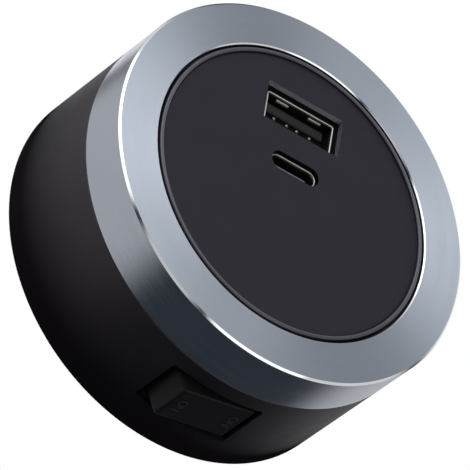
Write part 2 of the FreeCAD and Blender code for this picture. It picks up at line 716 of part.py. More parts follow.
# Face plate with its ports, screw posts and standoffs
def make_face_plate():
    corners = (
        ("0", FLANGE_UNDERSIDE),
        (NECK_INSIDE + " - fit_gap", FLANGE_UNDERSIDE),
        (NECK_INSIDE + " - fit_gap", RING_UNDERSIDE),
        (FACE_RADIUS, RING_UNDERSIDE),
        (FACE_RADIUS, "puck_height"),
        (FACE_RADIUS + " - lip_width", "puck_height"),
        (FACE_RADIUS + " - lip_width", FACE + " - groove_depth"),
        (FACE_RADIUS + " - lip_width - groove_width", FACE + " - groove_depth"),
        (FACE_RADIUS + " - lip_width - groove_width", FACE),
        ("0", FACE),
    )
    face_radius = size("ring_opening") - size("face_gap")
    rims = [(face_radius, size("puck_height")), (face_radius - size("lip_width"), size("puck_height"))]
    disc = round_rims(turned("FaceDisc", corners), "lip_round", rims)

    solids = [disc]
    holes = []
    for number, (x, y) in enumerate(post_places()):
        solids.append(
            cylinder(
                f"Post{number}",
                (x, y, "cover_thickness"),
                "post_radius",
                FLANGE_UNDERSIDE + " - cover_thickness + flange_thickness / 2",
            ),
        )
        holes.append(
            cylinder(
                f"PostBore{number}",
                (x, y, "cover_thickness - cut_over"),
                "post_bore",
                "post_bore_depth + cut_over",
            ),
        )
    for number, (x, y) in enumerate(standoff_places()):
        solids.append(
            cylinder(
                f"Standoff{number}",
                (x, y, OUTPUT_BOARD_FRONT),
                "standoff_radius",
                f"{FLANGE_UNDERSIDE} - {OUTPUT_BOARD_FRONT} + flange_thickness / 2",
            ),
        )
        holes.append(
            cylinder(
                f"StandoffBore{number}",
                (x, y, OUTPUT_BOARD_FRONT + " - cut_over"),
                "small_screw_hole",
                "standoff_bore_depth + cut_over",
            ),
        )
    rib_foot = f"(switch_height + {CASE_WIDTH} / 2)"
    solids.append(
        middle_box(
            "SwitchRib",
            ("0", CASE_RIM + " + case_depth / 2", rib_foot),
            ("case_length / 2", "case_wall", f"{FLANGE_UNDERSIDE} - {rib_foot} + flange_thickness / 2"),
        ),
    )

    holes.append(
        middle_box(
            "PortRecess",
            ("0", "port_a_height", PORT_A_FRONT),
            ("recess_length", "recess_width", "port_a_recess + cut_over"),
        ),
    )
    holes.append(
        middle_box(
            "PortAHole",
            ("0", "port_a_height", FLANGE_UNDERSIDE + " - cut_over"),
            ("port_a_length + 2 * fit_gap", "port_a_width + 2 * fit_gap", "puck_height"),
        ),
    )
    holes.append(
        slot_block(
            "PortCHole",
            "port_c_height",
            FLANGE_UNDERSIDE + " - cut_over",
            "port_c_length + 2 * port_c_gap",
            "port_c_width + 2 * port_c_gap",
            "puck_height",
        ),
    )
    piece("face_plate", cut("FacePlate", fuse("FaceSolids", *solids), *holes))


# Back cover with the seat for the adapter
def make_back_cover():
    corners = (
        ("spigot_radius + fit_gap", "seat_depth"),
        (SEAT_POCKET, "seat_depth"),
        (SEAT_POCKET, "0"),
        (COVER_RADIUS, "0"),
        (COVER_RADIUS, "cover_thickness"),
        (SEAT_POCKET + " + seat_boss_wall", "cover_thickness"),
        (SEAT_POCKET + " + seat_boss_wall", "seat_boss_height"),
        ("spigot_radius + fit_gap", "seat_boss_height"),
    )
    solids = [turned("CoverDisc", corners)]
    holes = []
    for number, (x, y) in enumerate(post_places()):
        holes.append(
            cylinder(
                f"CaseScrewHole{number}",
                (x, y, "0 - cut_over"),
                "case_screw_hole",
                "cover_thickness + 2 * cut_over",
            ),
        )
        holes.append(
            cylinder(
                f"CaseScrewSink{number}",
                (x, y, "0 - cut_over"),
                "case_screw_head + 2 * fit_gap",
                "case_screw_sink + cut_over",
            ),
        )
    for number, (x, y) in enumerate(power_screw_places()):
        solids.append(
            cylinder(
                f"PowerBoss{number}",
                (x, y, "cover_thickness / 2"),
                "power_boss_radius",
                "power_board_height - cover_thickness / 2",
            ),
        )
        holes.append(
            cylinder(
                f"PowerBossBore{number}",
                (x, y, "cover_thickness / 2"),
                "small_screw_hole",
                "power_board_height",
            ),
        )
    solids.append(
        middle_box(
            "CoverRib",
            ("0", CASE_RIM + " + case_depth / 2", "cover_thickness / 2"),
            ("case_length / 2", "case_wall", f"switch_height - {CASE_WIDTH} / 2 - cover_thickness / 2"),
        ),
    )
    for side in (-1, 1):
        holes.append(
            cylinder(
                f"TongueScrewHole{side + 1}",
                (f"{side} * tongue_screw_place", "0", "seat_depth - cut_over"),
                "small_screw_hole",
                "seat_boss_height",
            ),
        )
    piece("back_cover", cut("BackCover", fuse("CoverSolids", *solids), *holes))


def make_case_screws():
    screws = [
        screw(
            f"CaseScrew{number}",
            (x, y, "case_screw_sink - case_screw_head_height"),
            "case_screw_head",
            "case_screw_head_height",
            "post_bore - fit_gap / 2",
            "case_screw_length - case_screw_sink + case_screw_head_height",
        )
        for number, (x, y) in enumerate(post_places())
    ]
    piece("case_screws", group("CaseScrews", *screws))


# Type A receptacle
def make_port_a():
    foot = OUTPUT_BOARD_FRONT
    depth = f"({PORT_A_FRONT} - {foot})"
    inside_length = "(port_a_length - 2 * shell_wall)"
    inside_width = "(port_a_width - 2 * shell_wall)"
    outer = middle_box(
        "PortAOuter", ("0", "port_a_height", foot), ("port_a_length", "port_a_width", depth),
    )
    outer_round = rounded("PortARound", outer, "port_a_corner", is_along_z)
    inner = middle_box(
        "PortAInner",
        ("0", "port_a_height", foot + " - cut_over"),
        (inside_length, inside_width, depth + " + 2 * cut_over"),
    )
    slots = []
    tabs = []
    for wall in (-1, 1):
        for side in (-1, 1):
            name = f"{wall + 1}{side + 1}"
            x = f"{side} * clip_place"
            y = f"port_a_height + {wall} * (port_a_width - shell_wall) / 2"
            tip = f"({PORT_A_FRONT} - clip_start)"
            slots.append(
                middle_box(
                    "ClipSlot" + name,
                    (x, y, tip + " - clip_length"),
                    ("clip_width + 2 * clip_slot", "shell_wall * 2", "clip_length + clip_slot"),
                ),
            )
            tabs.append(lean_tab("Clip" + name, wall, x, y, tip))
    shell = cut("PortACut", outer_round, inner, *slots)
    piece("usb_a_shell", fuse("PortAShell", shell, *tabs))

    base = middle_box(
        "PortABase",
        ("0", "port_a_height", foot),
        (inside_length + " - fit_gap", inside_width + " - fit_gap", "base_a_height"),
    )
    tongue_low = "(port_a_height + port_a_width / 2 - shell_wall - tongue_a_gap - tongue_a_thickness)"
    tongue = box(
        "PortATongue",
        ("0 - tongue_a_length / 2", tongue_low, foot),
        ("tongue_a_length", "tongue_a_thickness", depth + " - tongue_a_recess"),
    )
    piece("usb_a_insulator", fuse("PortAInsulator", base, tongue))

    strips = []
    bump = "contact_a_bump"
    for number, x in enumerate(
        ("0 - contact_a_outer", "0 - contact_a_inner", "contact_a_inner", "contact_a_outer"),
    ):
        strip_foot = foot + " + base_a_height"
        strip = box(
            f"ContactA{number}Strip",
            (f"{x} - contact_a_width / 2", tongue_low + " - contact_a_thickness", strip_foot),
            (
                "contact_a_width",
                "contact_a_thickness",
                f"{depth} - base_a_height - tongue_a_recess - contact_a_back",
            ),
        )
        tip = cylinder(
            f"ContactA{number}Tip",
            (
                f"{x} - contact_a_width / 2",
                tongue_low,
                f"{PORT_A_FRONT} - tongue_a_recess - contact_a_tip",
            ),
            bump,
            "contact_a_width",
            turn=TURN_TO_X,
        )
        below = box(
            f"ContactA{number}Below",
            (f"{x} - contact_a_width / 2", tongue_low + " - cut_over", strip_foot),
            ("contact_a_width", "cut_over", depth),
        )
        strips.append(common(f"ContactA{number}", fuse(f"ContactA{number}Both", strip, tip), below))
    piece("usb_a_contacts", group("ContactsA", *strips))


def lean_tab(name, wall, x, y, tip):
    """A spring tab of the shell: it starts in the wall and leans into the port towards its tip."""
    tab = doc.addObject("Part::Box", name)
    bind(tab, Length="clip_width", Width="clip_thickness", Height="clip_length + shell_wall")
    tab.Placement = Placement(Vector(0, 0, 0), Rotation(Vector(1, 0, 0), wall * size("clip_lean")))
    move(
        tab,
        f"{x} - clip_width / 2",
        f"{y} - clip_thickness / 2",
        f"{tip} - clip_length - shell_wall / 2",
    )
    return tab


# Type C receptacle
def make_port_c():
    foot = OUTPUT_BOARD_FRONT
    depth = f"({PORT_C_FRONT} - {foot})"
    inside_length = "(port_c_length - 2 * shell_wall)"
    inside_width = "(port_c_width - 2 * shell_wall)"
    outer = slot_block("PortCOuter", "port_c_height", foot, "port_c_length", "port_c_width", depth)
    inner = slot_block(
        "PortCInner",
        "port_c_height",
        foot + " - cut_over",
        inside_length,
        inside_width,
        depth + " + 2 * cut_over",
    )
    piece("usb_c_shell", cut("PortCShell", outer, inner))

    base = slot_block(
        "PortCBase",
        "port_c_height",
        foot,
        inside_length + " - fit_gap",
        inside_width + " - fit_gap",
        depth + " - tongue_c_recess - tongue_c_reach",
    )
    tongue = middle_box(
        "PortCTongue",
        ("0", "port_c_height", foot),
        ("tongue_c_length", "tongue_c_thickness", depth + " - tongue_c_recess"),
    )
    tongue_round = rounded("PortCTongueRound", tongue, "tongue_c_corner", is_tongue_corner)
    piece("usb_c_insulator", fuse("PortCInsulator", base, tongue_round))

    pads = []
    pad_foot = f"({PORT_C_FRONT} - tongue_c_recess - contact_c_back - contact_c_length)"
    for side in (-1, 1):
        y = f"port_c_height + {side} * (tongue_c_thickness + contact_c_thickness) / 2"
        for number in range(PADS_PER_SIDE):
            x = f"({number} - {(PADS_PER_SIDE - 1) / 2}) * contact_c_pitch"
            pads.append(
                middle_box(
                    f"PadC{side + 1}_{number}",
                    (x, y, pad_foot),
                    ("contact_c_width", "contact_c_thickness", "contact_c_length"),
                ),
            )
    piece("usb_c_contacts", group("ContactsC", *pads))


def is_tongue_corner(edge):
    """Whether an edge is one of the two front corners of the type C tongue, seen from above."""
    front = size("puck_height") - size("lip_height") - size("port_c_recess") - size("tongue_c_recess")
    return is_along_y(edge) and abs(edge.CenterOfMass.z - front) < 1e-6


# Output board behind the ports
def make_output_board():
    board = box(
        "OutputBoardBlank",
        ("0 - output_board_length / 2", "0 - output_board_low", "output_board_height"),
        ("output_board_length", OUTPUT_BOARD_HIGH + " + output_board_low", "board_thickness"),
    )
    board_round = rounded("OutputBoardRound", board, "board_corner", is_along_z)
    holes = [
        cylinder(
            f"OutputBoardHole{number}",
            (x, y, "output_board_height - cut_over"),
            "small_screw_hole",
            "board_thickness + 2 * cut_over",
        )
        for number, (x, y) in enumerate(standoff_places())
    ]
    holes += [
        middle_box(
            f"OutputBoardPin{number}",
            (header_pin_x(number), "header_y", "output_board_height - cut_over"),
            ("2 * header_pin + fit_gap", "2 * header_pin + fit_gap", "board_thickness + 2 * cut_over"),
        )
        for number in range(HEADER_PINS)
    ]
    piece("output_board", cut("OutputBoard", board_round, *holes))
    screws = [
        screw(
            f"OutputScrew{number}",
            (x, y, "output_board_height - small_screw_head_height"),
            "small_screw_head",
            "small_screw_head_height",
            "small_screw_radius",
            "board_screw_length",
        )
        for number, (x, y) in enumerate(standoff_places())
    ]
    piece("output_board_screws", group("OutputScrews", *screws))
    chip = middle_box(
        "ChargeChip",
        ("0", "port_a_height", "output_board_height - charger_rise"),
        ("charger_length", "charger_length", "charger_rise"),
    )
    piece("charge_chip", chip)


def header_pin_x(number):
    """A header pin's place across the board."""
    return f"({number} - {(HEADER_PINS - 1) / 2}) * header_pitch"


# Mains board on the back cover
def make_power_board():
    disc = cylinder(
        "PowerBoardDisc", ("0", "0", "power_board_height"), POWER_BOARD_RADIUS, "board_thickness",
    )
    away = box(
        "PowerBoardAway",
        (
            f"0 - {POWER_BOARD_RADIUS}",
            f"0 - 2 * {POWER_BOARD_RADIUS}",
            "power_board_height - cut_over",
        ),
        (
            f"2 * {POWER_BOARD_RADIUS}",
            f"2 * {POWER_BOARD_RADIUS} - {POWER_BOARD_CHORD}",
            "board_thickness + 2 * cut_over",
        ),
    )
    holes = [away]
    for number, (x, y) in enumerate(post_places()):
        holes.append(
            cylinder(
                f"PowerBoardNotch{number}",
                (x, y, "power_board_height - cut_over"),
                "post_radius + board_gap",
                "board_thickness + 2 * cut_over",
            ),
        )
    for number, (x, y) in enumerate(power_screw_places()):
        holes.append(
            cylinder(
                f"PowerBoardHole{number}",
                (x, y, "power_board_height - cut_over"),
                "small_screw_hole",
                "board_thickness + 2 * cut_over",
            ),
        )
    for number in range(HEADER_PINS):
        holes.append(
            middle_box(
                f"PowerBoardPin{number}",
                (header_pin_x(number), "header_y", "power_board_height - cut_over"),
                (
                    "2 * header_pin + fit_gap",
                    "2 * header_pin + fit_gap",
                    "board_thickness + 2 * cut_over",
                ),
            ),
        )
    piece("power_board", cut("PowerBoard", disc, *holes))
    screws = [
        screw(
            f"PowerScrew{number}",
            (x, y, POWER_BOARD_FRONT),
            "small_screw_head",
            "small_screw_head_height",
            "small_screw_radius",
            "board_screw_length",
            down=True,
        )
        for number, (x, y) in enumerate(power_screw_places())
    ]
    piece("power_board_screws", group("PowerScrews", *screws))


# Link between the boards
def make_header():
    strip = middle_box(
        "HeaderStrip",
        ("0", "header_y", POWER_BOARD_FRONT),
        ("header_length", "header_width", "header_width"),
    )
    bores = [
        middle_box(
            f"HeaderBore{number}",
            (header_pin_x(number), "header_y", POWER_BOARD_FRONT + " - cut_over"),
            ("2 * header_pin", "2 * header_pin", "header_width + 2 * cut_over"),
        )
        for number in range(HEADER_PINS)
    ]
    piece("board_header", cut("BoardHeader", strip, *bores))
    pins = [
        middle_box(
            f"HeaderPin{number}",
            (header_pin_x(number), "header_y", "power_board_height - header_pin_stub"),
            (
                "2 * header_pin",
                "2 * header_pin",
                OUTPUT_BOARD_FRONT + " - power_board_height + 2 * header_pin_stub",
            ),
        )
        for number in range(HEADER_PINS)
    ]
    piece("header_pins", group("HeaderPins", *pins))


# Transformer
def make_transformer():
    foot = f"({POWER_BOARD_FRONT} + core_lift)"
    window_height = "(core_height - 2 * core_yoke)"
    window_width = "((core_length - core_middle) / 2 - core_leg)"
    block = middle_box(
        "CoreBlock", ("core_x", "core_y", foot), ("core_length", "core_depth", "core_height"),
    )
    windows = [
        middle_box(
            f"CoreWindow{side + 1}",
            (f"core_x + {side} * (core_middle + {window_width}) / 2", "core_y", foot + " + core_yoke"),
            (window_width, "core_depth + 2 * cut_over", window_height),
        )
        for side in (-1, 1)
    ]
    piece("transformer_core", cut("TransformerCore", block, *windows))

    window_foot = foot + " + core_yoke"
    tube_x = "(core_middle + 2 * fit_gap + 2 * bobbin_wall)"
    tube_y = "(core_depth + 2 * fit_gap + 2 * bobbin_wall)"
    spread_x = f"(core_middle + 2 * {window_width} - 2 * fit_gap)"
    tube = middle_box("BobbinTube", ("core_x", "core_y", window_foot), (tube_x, tube_y, window_height))
    low = middle_box(
        "BobbinLow",
        ("core_x", "core_y", window_foot),
        (spread_x, "winding_depth + 2 * bobbin_margin", "bobbin_flange"),
    )
    high = middle_box(
        "BobbinHigh",
        ("core_x", "core_y", f"{window_foot} + {window_height} - bobbin_flange"),
        (spread_x, "winding_depth + 2 * bobbin_margin", "bobbin_flange"),
    )
    rails = [
        box(
            f"BobbinRail{side + 1}",
            (
                "core_x - core_length / 2",
                f"core_y + {side} * (core_depth / 2 + fit_gap + rail_depth / 2) - rail_depth / 2",
                POWER_BOARD_FRONT,
            ),
            ("core_length", "rail_depth", "core_lift + core_yoke + bobbin_flange"),
        )
        for side in (-1, 1)
    ]
    leg = middle_box(
        "BobbinBore",
        ("core_x", "core_y", window_foot + " - cut_over"),
        ("core_middle + 2 * fit_gap", "core_depth + 2 * fit_gap", window_height + " + 2 * cut_over"),
    )
    piece(
        "transformer_bobbin",
        cut("TransformerBobbin", fuse("BobbinSolids", tube, low, high, *rails), leg),
    )

    winding = middle_box(
        "WindingBlock",
        ("core_x", "core_y", window_foot + " + bobbin_flange"),
        (
            f"{spread_x} + 2 * fit_gap - 2 * winding_gap",
            "winding_depth",
            f"{window_height} - 2 * bobbin_flange",
        ),
    )
    winding_round = rounded("WindingRound", winding, "winding_corner", is_along_z)
    hole = middle_box("WindingBore", ("core_x", "core_y", window_foot), (tube_x, tube_y, window_height))
    piece("transformer_winding", cut("TransformerWinding", winding_round, hole))


# Other parts on the mains board
def make_board_parts():
    board = POWER_BOARD_FRONT
    cans = [
        cylinder(
            f"InputCap{side + 1}",
            ("input_cap_x", f"input_cap_y + {side} * input_cap_pitch / 2", board),
            "input_cap_radius",
            "input_cap_height",
        )
        for side in (-1, 1)
    ]
    piece("input_capacitors", group("InputCaps", *cans))
    piece(
        "output_capacitor",
        cylinder(
            "OutputCap",
            ("output_cap_x", "output_cap_y", board),
            "output_cap_radius",
            "output_cap_height",
        ),
    )

    drum = cylinder("ChokeDrum", ("choke_x", "choke_y", board), "choke_neck", "choke_height")
    low = cylinder("ChokeLow", ("choke_x", "choke_y", board), "choke_radius", "choke_flange")
    high = cylinder(
        "ChokeHigh",
        ("choke_x", "choke_y", board + " + choke_height - choke_flange"),
        "choke_radius",
        "choke_flange",
    )
    piece("choke_core", fuse("ChokeCore", drum, low, high))
    coil_height = "choke_height - 2 * choke_flange"
    wound = cylinder(
        "ChokeWound",
        ("choke_x", "choke_y", board + " + choke_flange"),
        "choke_radius - choke_inset",
        coil_height,
    )
    bore = cylinder(
        "ChokeBore", ("choke_x", "choke_y", board), "choke_neck + fit_gap / 2", "choke_height",
    )
    piece("choke_winding", cut("ChokeWinding", wound, bore))

    tube = cylinder(
        "FuseTube",
        (FUSE_X + " - fuse_length / 2", FUSE_Y, board + " + fuse_radius"),
        "fuse_radius",
        "fuse_length",
        turn=TURN_TO_X,
    )
    waist = cylinder(
        "FuseWaist",
        (FUSE_X + " - fuse_length / 4", FUSE_Y, board + " + fuse_radius"),
        "fuse_radius + cut_over",
        "fuse_length / 2",
        turn=TURN_TO_X,
    )
    waist_core = cylinder(
        "FuseWaistCore",
        (FUSE_X + " - fuse_length / 4", FUSE_Y, board + " + fuse_radius"),
        "fuse_radius - fuse_step",
        "fuse_length / 2",
        turn=TURN_TO_X,
    )
    piece("fuse", cut("Fuse", tube, cut("FuseGroove", waist, waist_core)))

    film = middle_box(
        "FilmCap", ("x_cap_x", "x_cap_y", board), ("x_cap_length", "x_cap_depth", "x_cap_height"),
    )
    piece("x_capacitor", rounded("FilmCapRound", film, "x_cap_corner", is_along_z))
    disc = cylinder(
        "DiscCap",
        ("y_cap_x - y_cap_thickness / 2", "y_cap_y", board + " + y_cap_lift + y_cap_radius"),
        "y_cap_radius",
        "y_cap_thickness",
        turn=TURN_TO_X,
    )
    legs = [
        cylinder(
            f"DiscCapLeg{side + 1}",
            ("y_cap_x", f"y_cap_y + {side} * y_cap_leg_place", board),
            "y_cap_leg_radius",
            "y_cap_radius",
        )
        for side in (-1, 1)
    ]
    piece("y_capacitor", fuse("DiscCapBoth", disc, *legs))
    bridge = middle_box(
        "Bridge", ("bridge_x", "bridge_y", board), ("bridge_length", "bridge_depth", "bridge_rise"),
    )
    piece("bridge_rectifier", bridge)
    switcher = middle_box(
        "Switcher",
        ("switcher_x", "switcher_y", board),
        ("switcher_length", "switcher_depth", "switcher_rise"),
    )
    piece("switching_chip", switcher)
    coupler = middle_box(
        "Coupler",
        ("coupler_x", "coupler_y", board),
        ("coupler_length", "coupler_depth", "coupler_rise"),
    )
    piece("optocoupler", coupler)


# Rocker, drawn about its pivot: X along the rocker, -Y out of the body, Z along the pivot
def make_rocker():
    shoulder = "rocker_cap_height - rocker_top_height"
    corners = (
        ("rocker_top_length / 2", "0 - rocker_top_height"),
        ("rocker_foot_length / 2", shoulder),
        ("rocker_skirt_length / 2", "0 - rocker_skirt_height"),
        ("0 - rocker_skirt_length / 2", "0 - rocker_skirt_height"),
        ("0 - rocker_foot_length / 2", shoulder),
        ("0 - rocker_top_length / 2", "0 - rocker_top_height"),
    )
    blank = extruded("RockerBlank", corners, "rocker_width")
    blank_round = rounded("RockerRound", blank, "rocker_round", is_rocker_edge)
    hollow = box(
        "RockerHollow",
        ("rocker_skin - rocker_skirt_length / 2", "rocker_skin - rocker_top_height", "rocker_skin"),
        ("rocker_skirt_length - 2 * rocker_skin", "rocker_top_height", "rocker_width - 2 * rocker_skin"),
    )
    shell = cut("RockerShell", blank_round, hollow)
    hub = box(
        "RockerHub",
        (
            "0 - hub_size / 2",
            "0 - rocker_top_height + rocker_skin / 2",
            "rocker_width / 2 - hub_size / 2",
        ),
        ("hub_size", "rocker_top_height - rocker_skin / 2 + hub_reach", "hub_size"),
    )
    stubs = cylinder(
        "RockerStubs", ("0", "0", "0 - pin_length"), "pin_radius", "rocker_width + 2 * pin_length",
    )
    between = middle_box(
        "RockerBetween",
        ("0", "0", "rocker_skin"),
        ("4 * pin_radius", "4 * pin_radius", "rocker_width - 2 * rocker_skin"),
    )
    lugs = [
        box(
            f"RockerLug{side}",
            ("0 - pin_radius - rocker_skin", "0 - rocker_top_height + rocker_skin / 2", z),
            (
                "2 * pin_radius + 2 * rocker_skin",
                "rocker_top_height - rocker_skin / 2 + pin_radius + rocker_skin / 2",
                "rocker_skin",
            ),
        )
        for side, z in enumerate(("0", "rocker_width - rocker_skin"))
    ]
    bore = cylinder(
        "RockerBore",
        ("0", "0 - plunger_bore_height", "rocker_width / 2"),
        "plunger_radius + plunger_gap",
        "plunger_bore_height + hub_reach + cut_over",
        turn=TURN_TO_Y,
    )
    ends = cut("RockerStubEnds", stubs, between)
    solid = fuse("RockerSolid", shell, hub, ends, *lugs)
    piece("rocker", cut("Rocker", solid, bore), rocker_placement())


def is_rocker_edge(edge):
    """Whether an edge is any but the four of the rocker's open underside."""
    return edge.BoundBox.YMin < -size("rocker_skirt_height") - 1e-3


def rocker_placement():
    """The rocker at rest: the end towards -X stands out, the other is pressed in."""
    pivot = Vector(0, size("rocker_pivot_depth") - size("puck_radius"), size("switch_height"))
    tilt = Rotation(Vector(0, 0, 1), size("rocker_tilt"))
    middle = Placement(Vector(0, 0, -size("rocker_width") / 2), Rotation())
    return Placement(pivot, tilt).multiply(middle)


# Plunger and its spring in the rocker's hub
def make_plunger():
    rod = cylinder(
        "PlungerRod",
        ("0", PLUNGER_REACH + " - plunger_length", "rocker_width / 2"),
        "plunger_radius",
        "plunger_length - plunger_radius",
        turn=TURN_TO_Y,
    )
    tip = doc.addObject("Part::Sphere", "PlungerTip")
    bind(tip, Radius="plunger_radius")
    move(tip, "0", PLUNGER_REACH + " - plunger_radius", "rocker_width / 2")
    piece("rocker_plunger", fuse("Plunger", rod, tip), rocker_placement())

    reach = worked_out(PLUNGER_REACH, "0").x
    length = size("plunger_bore_height") + reach - size("plunger_length")
    spring = coil(
        "PlungerSpring",
        size("plunger_radius") - size("plunger_gap"),
        size("plunger_spring_wire"),
        length,
        size("plunger_spring_turns"),
    )
    start = Placement(Vector(0, -size("plunger_bore_height"), size("rocker_width") / 2), TURN_TO_Y)
    piece("plunger_spring", spring, rocker_placement().multiply(start))


# Switch case and its contacts
def make_switch_case():
    low = f"(switch_height - {CASE_WIDTH} / 2)"
    pocket_width = "(rocker_width + 2 * rocker_gap)"
    pocket_low = f"(switch_height - {pocket_width} / 2)"
    block = box(
        "CaseBlock", ("0 - case_length / 2", CASE_RIM, low), ("case_length", "case_depth", CASE_WIDTH),
    )
    pocket = box(
        "CasePocket",
        ("case_end_wall - case_length / 2", "0 - puck_radius", pocket_low),
        ("case_length - 2 * case_end_wall", f"{CASE_INNER_FLOOR} + puck_radius", pocket_width),
    )
    cheek_width = "((cutout_width - rocker_width) / 2 - rocker_gap - cheek_gap)"
    cheek_length = "(cutout_length - 2 * cheek_gap - 2 * cutout_corner)"
    cheeks = []
    for side, z in enumerate((f"{pocket_low} - {cheek_width}", f"{pocket_low} + {pocket_width}")):
        cheeks.append(
            box(
                f"CaseCheek{side}",
                (f"0 - {cheek_length} / 2", "cheek_drop - puck_radius", z),
                (cheek_length, "case_rim - cheek_drop + cut_over", cheek_width),
            ),
        )
    pin_bore = cylinder(
        "CasePinBore",
        ("0", PIVOT, low + " - cut_over"),
        "pin_radius + pin_gap",
        CASE_WIDTH + " + 2 * cut_over",
    )
    slots = [
        middle_box(
            f"CaseSlot{number}",
            (x, f"{CASE_UNDERSIDE} - case_floor / 2", "switch_height - terminal_width / 2"),
            ("terminal_thickness", "case_floor + 2 * cut_over", "terminal_width"),
        )
        for number, x in enumerate(("0", "contact_place"))
    ]
    solid = fuse("CaseSolid", cut("CaseOpen", block, pocket), *cheeks)
    piece("switch_case", cut("SwitchCase", solid, pin_bore, *slots))


def make_switch_contacts():
    blade_low = "switch_height - terminal_width / 2"
    common_top = f"({CASE_INNER_FLOOR} - lever_lift + contact_gap)"
    end = f"({CASE_UNDERSIDE} + terminal_reach)"
    common_blade = box(
        "CommonTerminal",
        ("0 - terminal_thickness / 2", common_top, blade_low),
        ("terminal_thickness", f"{end} - {common_top}", "terminal_width"),
    )
    piece("common_terminal", common_blade)
    blade = box(
        "LoadBlade",
        ("contact_place - terminal_thickness / 2", CASE_INNER_FLOOR, blade_low),
        ("terminal_thickness", f"{end} - {CASE_INNER_FLOOR}", "terminal_width"),
    )
    head = box(
        "LoadHead",
        ("contact_place - contact_head / 2", CASE_INNER_FLOOR + " - contact_gap", blade_low),
        ("contact_head", "contact_gap", "terminal_width"),
    )
    piece("load_terminal", fuse("LoadTerminal", blade, head))

    lever = middle_box(
        "MovingContact",
        ("0", "0 - lever_thickness / 2", "0 - lever_width / 2"),
        ("lever_length", "lever_thickness", "lever_width"),
    )
    pivot = Vector(0, case_inner_floor() - size("lever_lift"), size("switch_height"))
    lever_round = rounded("MovingContactRound", lever, "lever_corner", is_along_y)
    piece(
        "moving_contact", lever_round, Placement(pivot, Rotation(Vector(0, 0, 1), -size("lever_tilt"))),
    )


def case_inner_floor():
    """Place of the switch case's inner floor."""
    return size("case_rim") - size("puck_radius") + size("case_depth") - size("case_floor")


# Leads from the switch to the mains board: out of the blade, round a bend and down
def make_switch_leads():
    leads = []
    bend = "(3 * lead_radius)"
    end = f"({CASE_UNDERSIDE} + terminal_reach)"
    for number, x in enumerate(("0", "contact_place")):
        run = cylinder(
            f"SwitchRun{number}",
            (x, end, "switch_height"),
            "lead_radius",
            "lead_radius",
            turn=TURN_TO_Y,
        )
        elbow = doc.addObject("Part::Torus", f"SwitchBend{number}")
        bind(elbow, Radius1=bend, Radius2="lead_radius")
        elbow.Angle3 = 90
        move(
            elbow,
            x,
            f"{end} + lead_radius",
            f"switch_height - {bend}",
            turn=Rotation(Vector(0, 1, 0), -90),
        )
        drop = cylinder(
            f"SwitchDrop{number}",
            (x, f"{end} + lead_radius + {bend}", POWER_BOARD_FRONT),
            "lead_radius",
            f"switch_height - {bend} - {POWER_BOARD_FRONT}",
        )
        leads.append(fuse(f"SwitchLead{number}", run, elbow, drop))
    piece("switch_leads", group("SwitchLeads", *leads))


